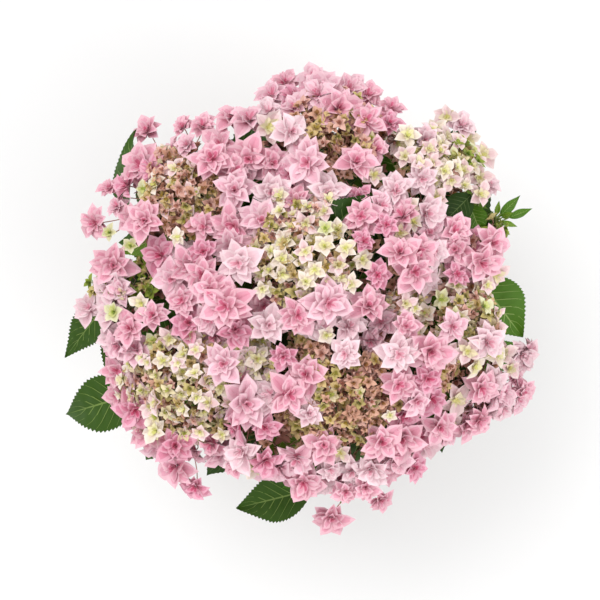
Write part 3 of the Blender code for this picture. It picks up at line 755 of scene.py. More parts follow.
def caneMesh(index, bearing, lean, knuckle):
    # a tapering limb with a collar at its foot and a knuckle at its tip
    outward = polar(bearing, math.sin(math.radians(lean)), math.cos(math.radians(lean)))
    start = stoolCentre + outward * limbs["stoolHead"]
    points = bend(start - outward * cane["rooting"], outward, knuckle, cane["rings"])
    endDirection = (points[-1] - points[-2]).normalized()
    reach = (points[-1] - points[0]).length
    radii = []
    for point in points:
        share = (point - points[0]).length / reach
        slender = mixed(limbs["caneFoot"], limbs["caneNeck"], share)
        swell = math.exp(-(((point - knuckle).length / limbs["knuckle"]) ** 2) * cane["swellFall"])
        collar = math.exp(-share * cane["collarFall"])
        radii.append(slender + (limbs["knuckle"] - slender) * swell * cane["swell"] + cane["collar"] * collar)
    cap = limbs["knuckle"] * cane["cap"]
    for step in range(1, cane["capRings"] + 1):
        angle = math.pi / 2 * step / cane["capTurn"]
        points.append(knuckle + endDirection * cap * math.sin(angle))
        radii.append(cap * math.cos(angle))
    return ringMesh("cane", tubeRings(points, radii, cane["sides"], index * cane["phase"]))


barkLook = {"plain": ((0.2, 0.13, 0.08), 0.88), "stripNoise": (130, 6, (1, 1, 0.22), 0.6), "tints": [
                (0.32, (0.075, 0.045, 0.028)), (0.52, (0.21, 0.135, 0.085)), (0.72, (0.36, 0.27, 0.19))],
            "patchNoise": (38, 3), "patches": [(0.45, (0, 0, 0)), (0.68, (1, 1, 1))],
            "patch": (0.40, (0.30, 0.27, 0.20, 1)), "roughness": (0.80, 0.15), "grainNoise": (500, 3),
            "grain": 0.4, "bump": (0.7, 0.0010)}


def barkFinish():
    made = Finish("bark", *barkLook["plain"])
    strips = made.noise(*barkLook["stripNoise"])
    patches = made.ramp(made.noise(*barkLook["patchNoise"]), barkLook["patches"])
    share, colour = barkLook["patch"]
    least, more = barkLook["roughness"]
    made.shade(Base_Color=made.mix(patches * share, made.ramp(strips, barkLook["tints"]), colour),
               Roughness=least + strips * more)
    made.bump(strips + made.noise(*barkLook["grainNoise"]) * barkLook["grain"], *barkLook["bump"])
    return made.material


barkMaterial = barkFinish()
finishedPiece(newObject("stoolBark", stoolMesh()), "bark", ["stool"], [barkMaterial])
knuckles = []
canes = bmesh.new()
for index, (bearing, lean) in enumerate(limbs["caneBearings"]):
    group = [head.fork for head in heads if head.cane == index]
    knuckles.append(mixed(stoolCentre, sum(group, Vector()) / len(group), limbs["caneReach"]))
    made = caneMesh(index, bearing, lean, knuckles[-1])
    canes.from_mesh(made)
    bpy.data.meshes.remove(made)
canePiece = newObject("caneBark", smoothed(written(canes, bpy.data.meshes.new("caneBark"))))
finishedPiece(canePiece, "bark", nodesOf["cane"], [barkMaterial])


# green shoots

print("shoots")
shootPlan = {"start": 0.7, "points": 15, "swell": 0.22, "swellFall": 26, "sides": 7, "finishes": (
    ("stemGreen", (96, 116, 58), 0.5), ("leafStalk", (122, 138, 74), 0.5))}
for head in heads:
    knuckle = knuckles[head.cane]
    group = [other for other in heads if other.cane == head.cane]
    middle = sum(((other.foot - knuckle).normalized() for other in group), Vector()).normalized()
    out = (head.foot - knuckle).normalized()
    leaving = (out * (1 + limbs["splay"]) - middle * limbs["splay"]).normalized()
    start = knuckle + leaving * limbs["knuckle"] * shootPlan["start"]
    neck = head.foot - head.axis * limbs["neck"]
    head.shoot = bend(start, leaving, neck, shootPlan["points"]) + [head.foot]


# leaves: toothed blades in opposite pairs, each pair square to the last

print("leaves")
# nodes, lengths: where each pair stands along its shoot and how long it is; sizes, rises, swings: what is
# tried, in turn, until a leaf has room; narrowness: each kind's share of the full width;
# within: how far out a leaf may reach above and below the waist, as crownValue
leafPlan = {
    "nodes": (0.04, 0.22, 0.40, 0.58, 0.75, 0.91), "lengths": (0.100, 0.112, 0.114, 0.106, 0.092, 0.070),
    "sizes": (1.0, 0.86, 0.72, 0.58, 0.46), "rises": (0.35, 0.75, 0.05, -0.3),
    "swings": (0, 0.35, -0.35, 0.7, -0.7), "upright": 0.6, "steepest": 0.92, "edgeRise": 0.08,
    "reachShares": (0.8, 0.6, 0.4), "reachWidths": (1, 0.78), "reachLengths": (0.110, 0.095, 0.080),
    "reachRise": 0.16, "within": (0.90, 1.02), "lowest": 0.130, "potGap": (0.010, 0.012), "near": 0.062,
    "testGap": 0.0015, "shootGap": 0.001, "width": 0.64, "slimBelow": 0.9, "lanceBelow": 0.45, "shapes": 9,
    "narrowness": (("leaf", 1.0), ("slim", 0.78), ("lance", 0.52)), "stalk": 0.020, "stalkRadius": 0.0012,
    "stalkGrowth": (0.7, 4), "stalkRadii": (1.3, 1.1, 1, 0.9, 0.8), "stalkBow": 0.55, "stalkIn": 0.03,
    "young": 0.75, "tones": (5, 4, 1, 0), "youngTones": (0, 3, 4, 2)}
bladePlan = {
    "columns": (-1.0, -0.68, -0.34, -0.035, 0.035, 0.34, 0.68, 1.0), "midrib": 3, "teeth": 22, "tooth": 0.028,
    "foot": 0.015, "tip": (1.04, 1.08), "round": (0.80, 0.84), "drawnFrom": 0.55, "drawn": 0.42,
    "fold": (0.10, 0.34), "droop": (0.05, 0.30), "twist": (-0.25, 0.25), "wave": (0.010, 0.028),
    "phase": (0, 6.28), "waves": 9, "quilt": 0.016, "sweep": 0.03, "toothSweep": 0.6, "veins": 7,
    "veinRise": 0.30, "veinWidth": 0.0065, "veinTaper": 1.2, "veinFrom": 0.04, "veinSpan": 0.80,
    "veinLean": 0.7, "veinLift": 0.0035, "veinShares": (0.02, 0.36, 0.68, 0.94)}
coarsePlan = {
    "outline": ((0, 0), (0.15, -0.42), (0.42, -0.50), (0.76, -0.28), (1, 0), (0.76, 0.28), (0.42, 0.5),
                (0.15, 0.42)), "fold": 0.16, "crest": (0.42, 0, -0.03)}
leafColours = {                  # blade, vein
    "leafDark": ((44, 70, 20), (84, 108, 48)), "leafMid": ((56, 86, 22), (108, 134, 56)),
    "leafFresh": ((76, 116, 30), (130, 160, 74)), "leafYoung": ((108, 142, 46), (150, 172, 90))}

# leaves that stand out of the crown: head, bearing, plan radius and height of the tip
reachingLeaves = (("f", 226, 0.236, 0.262), ("c", 44, 0.256, 0.262), ("n", -46, 0.216, 0.250),
                  ("p", -62, 0.210, 0.250))

# leaves that show between the florets: base and tip in millimetres, width, tone, 1 for a leaf on its edge
showingLeaves = (
    ((-190, 8, 322), (-250, -62, 272), 0.40, 1, 0), ((-160, -93, 318), (-256, -124, 268), 0.50, 1, 0),
    ((206, 80, 330), (221, 75, 334), 0.34, 3, 0), ((200, 86, 332), (202, 99, 342), 0.34, 3, 0),
    ((196, 82, 332), (191, 64, 326), 0.50, 1, 0),
    ((-175, 92, 328), (-186, 172, 322), 0.70, 1, 1), ((14, -196, 302), (-68, -221, 272), 0.52, 1, 0),
    ((172, 106, 362), (142, 76, 374), 0.85, 0, 0), ((171, 97, 350), (186, 64, 338), 0.80, 2, 0),
    ((19, 58, 428), (62, 98, 446), 0.80, 0, 0), ((178, 24, 336), (233, -40, 318), 0.85, 2, 0),
    ((-150, -44, 358), (-174, -60, 350), 0.80, 1, 0), ((-128, 15, 362), (-147, 46, 370), 0.70, 1, 0),
    ((204, 85, 326), (223, 105, 336), 0.36, 2, 0), ((213, 84, 328), (236, 93, 333), 0.34, 2, 0),
    ((200, 86, 326), (180, 93, 332), 0.36, 1, 0), ((200, 82, 326), (188, 68, 320), 0.40, 0, 0),
    ((205, 78, 324), (214, 60, 312), 0.30, 0, 1), ((206, 84, 330), (214, 88, 344), 0.40, 3, 0))


def leafHalfWidth(t):
    # ovate, widest two fifths of the way up, with a drawn-out tip
    foot, side = bladePlan["round"]
    drawn = max(0.0, t - bladePlan["drawnFrom"]) / (1 - bladePlan["drawnFrom"])
    return 0.5 * math.sin(math.pi * t ** foot) ** side * (1 - bladePlan["drawn"] * drawn)


def leafMesh(name, chance, narrow):
    fold, droop, twist, wave, phase = [
        chance.uniform(*bladePlan[key]) for key in ("fold", "droop", "twist", "wave", "phase")]
    width, columns, midrib = leafPlan["width"], bladePlan["columns"], bladePlan["midrib"]
    rows, veins = 2 * bladePlan["teeth"], bladePlan["veins"]

    def spot(t, s, tooth=0.0, raised=0.0):
        y = s * leafHalfWidth(t) * width * narrow + math.copysign(tooth, s)
        rib = veins * (t - bladePlan["veinRise"] * abs(s))
        quilt = bladePlan["quilt"] * abs(math.sin(math.pi * rib)) * (1 - abs(s) ** 3) * math.sin(math.pi * t)
        z = fold * abs(y) - droop * t * t + quilt * (abs(s) > max(columns[midrib:midrib + 2]))
        z += wave * math.sin(bladePlan["waves"] * t + phase) * s * s + twist * y * t
        return t + bladePlan["sweep"] * s * s + tooth * bladePlan["toothSweep"], y, z + raised

    points = []
    for row, s in itertools.product(range(rows), columns):
        t = mixed(bladePlan["foot"], 1.0, row / rows)
        toothed = abs(s) == 1.0 and row % 2
        points.append(spot(t, s, toothed * bladePlan["tooth"] * width * min(1.0, 3 * leafHalfWidth(t))))
    points.append((bladePlan["tip"][0], 0.0, -droop * bladePlan["tip"][1]))
    faces, bands = [], []
    for face, row, column in bladeFaces(rows, len(columns)):
        faces.append(face)
        bands.append(int(column == midrib and row < rows - 1))
    # side veins: slim raised strips that run up to the margin
    for number, side in itertools.product(range(1, veins), (-1, 1)):
        strip = len(points)
        for share in bladePlan["veinShares"]:
            t = bladePlan["veinFrom"] + bladePlan["veinSpan"] * number / veins
            t += bladePlan["veinRise"] * share * bladePlan["veinLean"]
            half = bladePlan["veinWidth"] * (bladePlan["veinTaper"] - share)
            points += [spot(t + edge, side * share, 0.0, bladePlan["veinLift"]) for edge in (-half, half)]
        for start in range(strip, len(points) - 2, 2):
            faces.append((start, start + 1, start + 3, start + 2)[::-side])
            bands.append(1)
    return meshOf(name, points, faces, layers=[("band", "INT", "FACE", bands)])


def coarseLeaf(base, direction, upward, length, width):
    # stand-in for a leaf, for the tests of room
    place = frameAlong(direction, upward)
    points = [base + place @ (Vector((x, y * width, coarsePlan["fold"] * (abs(y) - x * x))) * length)
              for x, y in coarsePlan["outline"]]
    crest = base + place @ (Vector(coarsePlan["crest"]) * length)
    lift = place @ Vector((0, 0, leafPlan["testGap"]))
    count = len(points)
    faces = []
    for step in range(count):
        after = (step + 1) % count
        faces += [(step, after, count), (after, step, count + 1)]
    return points + [crest + lift, crest - lift], faces


def leafIsFree(points, faces, blocked, reaching=False):
    aside, above = leafPlan["potGap"]
    for point in points:
        limit = leafPlan["within"][point.z <= crown["waist"]]
        if not reaching and crownValue(point) > limit or point.z < leafPlan["lowest"]:
            return False
        if point.z < pot["height"] + above and point.xy.length < pot["rimRadius"] + aside:
            return False
    tree = BVHTree.FromPolygons(points, faces)
    middle = sum(points, Vector()) / len(points)
    return not any((spot - middle).length < reach + leafPlan["near"] and tree.overlap(guard)
                   for guard, spot, reach in blocked)


def guardOf(points, faces):
    middle = sum(points, Vector()) / len(points)
    reach = max((point - middle).length for point in points)
    return BVHTree.FromPolygons(points, faces), middle, reach


def tubeGuard(points, radius, sides=5):
    rings = tubeRings(points, [radius] * len(points), sides)
    return guardOf([point for ring in rings for point in ring], ringFaces(len(rings), sides))


guards = {head: tubeGuard(head.shoot[1:], limbs["shootFoot"] + leafPlan["shootGap"]) for head in heads}
placedLeaves = []
leafSpots = []
stemLines = []


def blockedFor(head):
    return [guard for other, guard in guards.items() if other is not head] + placedLeaves


def addLeaf(head, root, blade, width, young=0.5, tone=None):
    base, direction, upward, length = blade
    placedLeaves.append(guardOf(*coarseLeaf(*blade, width)))
    drawn = dealt(head.random, leafPlan["youngTones" if young > leafPlan["young"] else "tones"])
    narrow = 1 if width < leafPlan["width"] * leafPlan["slimBelow"] else 0
    narrow = 2 if width < leafPlan["lanceBelow"] else narrow
    shape = head.random.randrange(leafPlan["shapes"]) + leafPlan["shapes"] * narrow
    turn = frameAlong(direction, upward).to_quaternion()
    leafSpots.append((base, turn, length, shape, drawn if tone is None else tone))
    least, growth = leafPlan["stalkGrowth"]
    radii = [leafPlan["stalkRadius"] * (least + growth * length) * share for share in leafPlan["stalkRadii"]]
    control = base - direction * (base - root).length * leafPlan["stalkBow"]
    line = curve(root, control, base + direction * length * leafPlan["stalkIn"], len(radii))
    stemLines.append((line, radii, 1))


def growShowingLeaves():
    # each one joins the nearest green shoot
    for base, tip, width, tone, onEdge in showingLeaves:
        base, tip = Vector(base) / perMetre, Vector(tip) / perMetre
        head = min(heads, key=lambda head: min((point - base).length for point in head.shoot))
        root = min(head.shoot, key=lambda point: (point - base).length)
        upward = Vector((base.x, base.y, leafPlan["edgeRise"])).normalized() if onEdge else up
        addLeaf(head, root, (base, (tip - base).normalized(), upward, (tip - base).length), width, tone=tone)


def growReachingLeaves():
    choices = list(itertools.product(
        leafPlan["reachShares"], leafPlan["reachWidths"], leafPlan["reachLengths"]))
    for name, bearing, radius, height in reachingLeaves:
        head = next(head for head in heads if head.name == name)
        tip = polar(bearing, radius, height)
        for share, narrow, length in choices:
            root, _ = along(head.shoot, share)
            direction = (tip - root).normalized()
            aim = (direction + up * leafPlan["reachRise"]).normalized()
            blade = (tip - direction * length, aim, up, length)
            width = leafPlan["width"] * narrow
            if leafIsFree(*coarseLeaf(*blade, width), blockedFor(head), reaching=True):
                addLeaf(head, root, blade, width)
                break
        else:
            print("  no room for the reaching leaf at", name, bearing)


def freeBlade(root, run, turn, fullLength, blocked):
    # the largest leaf that has room near this turn about the shoot
    side = sideOf(run)
    for size, rise, swing in itertools.product(leafPlan["sizes"], leafPlan["rises"], leafPlan["swings"]):
        flat = side * math.cos(turn + swing) + run.cross(side) * math.sin(turn + swing)
        direction = (flat + run * rise).normalized()
        upward = (up + run * leafPlan["upright"]).normalized()
        if abs(direction.dot(upward)) > leafPlan["steepest"]:
            upward = run
        blade = (root + direction * leafPlan["stalk"] * size, direction, upward, fullLength * size)
        if leafIsFree(*coarseLeaf(*blade, leafPlan["width"]), blocked):
            return blade
    return None


def growPairs():
    for index, (share, fullLength) in enumerate(zip(leafPlan["nodes"], leafPlan["lengths"])):
        for head in heads:
            if index == 0:
                head.startTurn = head.random.uniform(0, math.pi / 2)
            root, run = along(head.shoot, share)
            for half in range(2):
                turn = head.startTurn + index * math.pi / 2 + half * math.pi
                blade = freeBlade(root, run, turn, fullLength, blockedFor(head))
                if blade:
                    addLeaf(head, root, blade, leafPlan["width"], young=share)


growShowingLeaves()
growReachingLeaves()
growPairs()
print(f"  {len(leafSpots)} leaves")
leafFinishes = []
for tone, (blade, vein) in leafColours.items():
    leafFinishes.append(plainFinish(tone, blade, 0.45, Specular_IOR_Level=0.22))
    leafFinishes.append(plainFinish(tone + "Vein", vein, 0.50))
leafChance = random.Random(seed + 1)
leafShapes = [leafMesh(f"{label}Shape{n}", leafChance, narrow)
              for label, narrow in leafPlan["narrowness"] for n in range(leafPlan["shapes"])]
finishedPiece(scattered("leaves", leafSpots, leafShapes, leafFinishes, 2), "leaf", nodesOf["leafy_shoot"])

for head in heads:
    radii = []
    for index in range(len(head.shoot)):
        share = index / (len(head.shoot) - 1)
        swell = sum(math.exp(-((share - node) * shootPlan["swellFall"]) ** 2) for node in leafPlan["nodes"])
        radii.append(mixed(limbs["shootFoot"], limbs["shootTip"], share) * (1 + shootPlan["swell"] * swell))
    stemLines.append((head.shoot, radii, 0))
stemFinishes = [plainFinish(*finish) for finish in shootPlan["finishes"]]
stems = tubed("greenShoots", stemLines, stemFinishes, shootPlan["sides"])
finishedPiece(stems, "leaf", nodesOf["leafy_shoot"])


# florets are whorls of pointed petals, each creased along its middle

print("florets")
# whorls, from the outside in: petals, length, lift and bow in degrees, width, turn as a share of one step
# bands: the material of each part of a petal, whorl by whorl; tints: colours in the order of the materials
# closing: how much less each of four shapes opens; mixes: how often each tint comes up
floretKinds = {
    "open": {
        "piece": "openFlorets", "parts": 2, "slot": "petal_pink", "finish": "petal", "roughness": 0.55,
        "grid": "fine", "shapes": 12, "closing": 0.07,
        "whorls": ((5, 1.00, 3, 17, 1.22, 0.0), (5, 0.92, 15, 20, 1.12, 0.5), (5, 0.74, 34, 20, 1.02, 0.1),
                   (4, 0.50, 58, 14, 0.96, 0.5)),
        "bands": {"heart": (0, 0, 0, 0), "blade": (1, 1, 1, 0), "margin": (2, 2, 2, 1)},
        # each tint: heart, blade, margin; the margins are the petals' own pale edges, made lighter in part as
        # a painted highlight along them
        "tints": {
            # deep: a darker rose, dealt at random as a darker tone and given to florets that lie under
            # others, where it is partly painted shade
            "deep": ((206, 98, 130), (225, 150, 174), (235, 180, 197)),
            "pink": ((216, 122, 150), (233, 172, 190), (241, 197, 208)),
            "soft": ((223, 146, 168), (236, 189, 203), (243, 208, 217)),
            "pale": ((230, 172, 187), (239, 206, 214), (244, 219, 224))},
        "mixes": {"pink": (2, 5, 6, 3), "pale": (1, 2, 4, 6)}},
    "half": {
        "piece": "youngFlorets", "parts": 1, "slot": "petal_cream", "finish": "young", "roughness": 0.55,
        "grid": "fine", "shapes": 9, "closing": 0.10,
        "whorls": ((5, 1.00, 8, 20, 1.24, 0.0), (5, 0.64, 28, 16, 1.05, 0.5), (3, 0.36, 52, 8, 1.1, 0.2)),
        "bands": {"heart": (1, 0, 0), "blade": (2, 1, 0), "margin": (3, 1, 0)},
        "tints": {
            "blush": ((224, 218, 150), (238, 226, 194), (237, 207, 209), (243, 220, 219)),
            "cream": ((220, 218, 138), (237, 229, 186), (238, 223, 208), (243, 230, 219)),
            "green": ((164, 180, 78), (210, 212, 138), (222, 218, 176), (228, 224, 190))},
        "mixes": {"brown": (6, 3, 0), "olive": (5, 5, 1), "green": (3, 3, 4), "common": (6, 4, 0)}},
    "bud": {
        "piece": "budFlorets", "parts": 2, "slot": "petal_cream", "finish": "bud", "roughness": 0.6,
        "grid": "plain", "shapes": 8, "closing": 0.20,
        "whorls": ((5, 1.00, 14, 26, 1.22, 0.0), (3, 0.62, 48, 20, 1.20, 0.4)),
        "bands": {"heart": (1, 0), "blade": (1, 0), "margin": (1, 0)},
        "tints": {
            "brown": ((154, 110, 70), (216, 169, 146)), "dusty": ((176, 118, 100), (228, 184, 170)),
            "gold": ((166, 142, 66), (216, 190, 136)), "olive": ((146, 138, 58), (200, 184, 122)),
            "cream": ((176, 178, 90), (228, 214, 176)), "green": ((104, 124, 40), (146, 162, 68)),
            # shade: dark brown buds that stand for the dim gaps between florets, painted shade
            "shade": ((88, 66, 46), (150, 106, 92))},
        "mixes": {"brown": (6, 5, 4, 1, 1, 0, 0), "olive": (1, 4, 4, 4, 5, 0, 0),
                  "green": (0, 0, 1, 3, 2, 6, 0), "fresh": (0, 0, 0, 1, 0, 8, 0),
                  # under: mostly the shade tint, so the buds that fill the gaps carry painted shade
                  "under": (3, 1, 1, 0, 0, 0, 7)}},
}

# rows: how far up the petal and how wide; the rest is how much one petal differs from another
petalPlan = {"fine": {"rows": ((0.04, 0.055), (0.20, 0.165), (0.40, 0.275), (0.58, 0.275), (0.76, 0.170),
                               (0.90, 0.065)), "columns": (-1.0, -0.55, 0.0, 0.55, 1.0)},
             "plain": {"rows": ((0.04, 0.08), (0.36, 0.27), (0.68, 0.20)), "columns": (-1.0, 0.0, 1.0)},
             "bearing": 0.16, "length": (0.78, 1.10), "lift": 9, "closed": 42, "bow": 20,
             "width": (0.82, 1.10), "fold": (0.35, 0.95), "cup": (-0.10, 0.40), "sway": 0.12, "storey": 0.030,
             "uneven": 0.04}


def petal(grid, length, lift, bow, width, fold, cup, sway):
    # a grid from the claw to the tip, bowed along its length and folded and cupped across it
    rows, columns = petalPlan[grid]["rows"], petalPlan[grid]["columns"]
    points = []
    x, z, last = 0.0, 0.0, 0.0
    for t, half in (*rows, (1.0, 0.0)):
        slope = math.radians(lift + bow * (0.5 - (t + last) / 2))
        x += (t - last) * math.cos(slope)
        z += (t - last) * math.sin(slope)
        last = t
        for s in columns if half else (0.0,):
            rise = half * (fold * abs(s) + cup * s * s * math.sin(math.pi * t))
            points.append(Vector((x, s * half * width + sway * t * t, z + rise)) * length)
    faces, parts = [], []
    fine = grid == "fine"
    for face, row, column in bladeFaces(len(rows), len(columns)):
        faces.append(face)
        # margin faces: the outer columns and the rows at the tip; on open florets their paler colour is
        # partly a painted highlight
        atEdge = fine and (column in (0, len(columns) - 2) or row == len(rows) - 1)
        parts.append("heart" if row == 0 else "margin" if atEdge or row == len(rows) - 2 else "blade")
    spine = [row * len(columns) + len(columns) // 2 for row in range(len(rows))] + [len(points) - 1]
    return points, faces, parts, zip(spine, spine[1:])


def floretMesh(name, kind, chance, openness):
    points, faces, bands, creases = [], [], [], set()
    for whorl, (count, length, lift, bow, width, turn) in enumerate(kind["whorls"]):
        for number in range(count):
            bearing = fullTurn * (number + turn) / count + chance.gauss(0, petalPlan["bearing"])
            made = petal(
                kind["grid"], length * chance.uniform(*petalPlan["length"]),
                lift + chance.gauss(0, petalPlan["lift"]) + (1 - openness) * petalPlan["closed"],
                bow + chance.gauss(0, petalPlan["bow"]), width * chance.uniform(*petalPlan["width"]),
                chance.uniform(*petalPlan["fold"]), chance.uniform(*petalPlan["cup"]),
                chance.gauss(0, petalPlan["sway"]))
            turned = Matrix.Rotation(bearing, 3, "Z")
            first = len(points)
            points += [turned @ point + up * petalPlan["storey"] * whorl for point in made[0]]
            faces += [tuple(first + index for index in face) for face in made[1]]
            bands += [kind["bands"][part][whorl] for part in made[2]]
            creases |= {frozenset((first + start, first + end)) for start, end in made[3]}
    mesh = meshOf(name, points, faces, layers=[("band", "INT", "FACE", bands)])
    sharp = [frozenset(edge.vertices) in creases for edge in mesh.edges]
    setLayer(mesh, "sharp_edge", "BOOLEAN", "EDGE", sharp)
    return mesh


floretChance = random.Random(seed + 2)
for kind, plan in floretKinds.items():
    plan["meshes"] = [floretMesh(f"{kind}{n}", plan, floretChance, 1.0 - plan["closing"] * (n % 4))
                      for n in range(plan["shapes"])]


# where the florets stand

print("flower heads")
# up: how far a floret turns from the crown's own facing to straight up; lift: how far it stands out,
# as a share of its distance from the growth centre; tries: how many spots are tried
showyPlan = {"scale": {"open": 1.24, "half": 1.14}, "lift": (0.0, 0.035), "up": (0.6, 0.35), "leastUp": 0.42,
             "sway": 0.16}
commonPlan = {"spacing": 0.0225, "tries": 1500, "within": 1.06, "radius": (0.0180, 0.0255),
              "lift": (-0.044, 0.0088), "up": 0.35, "sway": 0.26, "rimHeight": 0.350, "rimDraw": 0.10,
              "paleHeads": ("c", "m"), "youngScale": 0.80, "youngShare": 0.04, "youngShares": {
                  "c": 0.70, "m": 0.65, "d": 0.25, "f": 0.30, "g": 0.15, "n": 0.25, "l": 0.15, "a": 0.12}}
smallPlans = {
    "young": {"kind": "half", "tries": 500, "radius": (0.0100, 0.0150), "lift": (-0.05, 0.0), "sway": 0.30},
    "upper": {"kind": "bud", "tries": 1400, "spacing": 0.0056, "radius": (0.0062, 0.0104),
              "lift": (-0.060, -0.010), "sway": 0.50},
    "lower": {"kind": "bud", "tries": 1400, "spacing": 0.0070, "radius": (0.0062, 0.0104),
              "lift": (-0.130, -0.070), "sway": 0.50},
    "under": {"kind": "bud", "tries": 900, "spacing": 0.0140, "radius": (0.00744, 0.01248),
              "lift": (-0.145, -0.060), "sway": 0.45, "within": 1.05}}
patchEdge = {"share": 0.92, "brown": 0.007}      # how near the common florets come to a patch of buds
unevenSpacing = (0.82, 1.18)
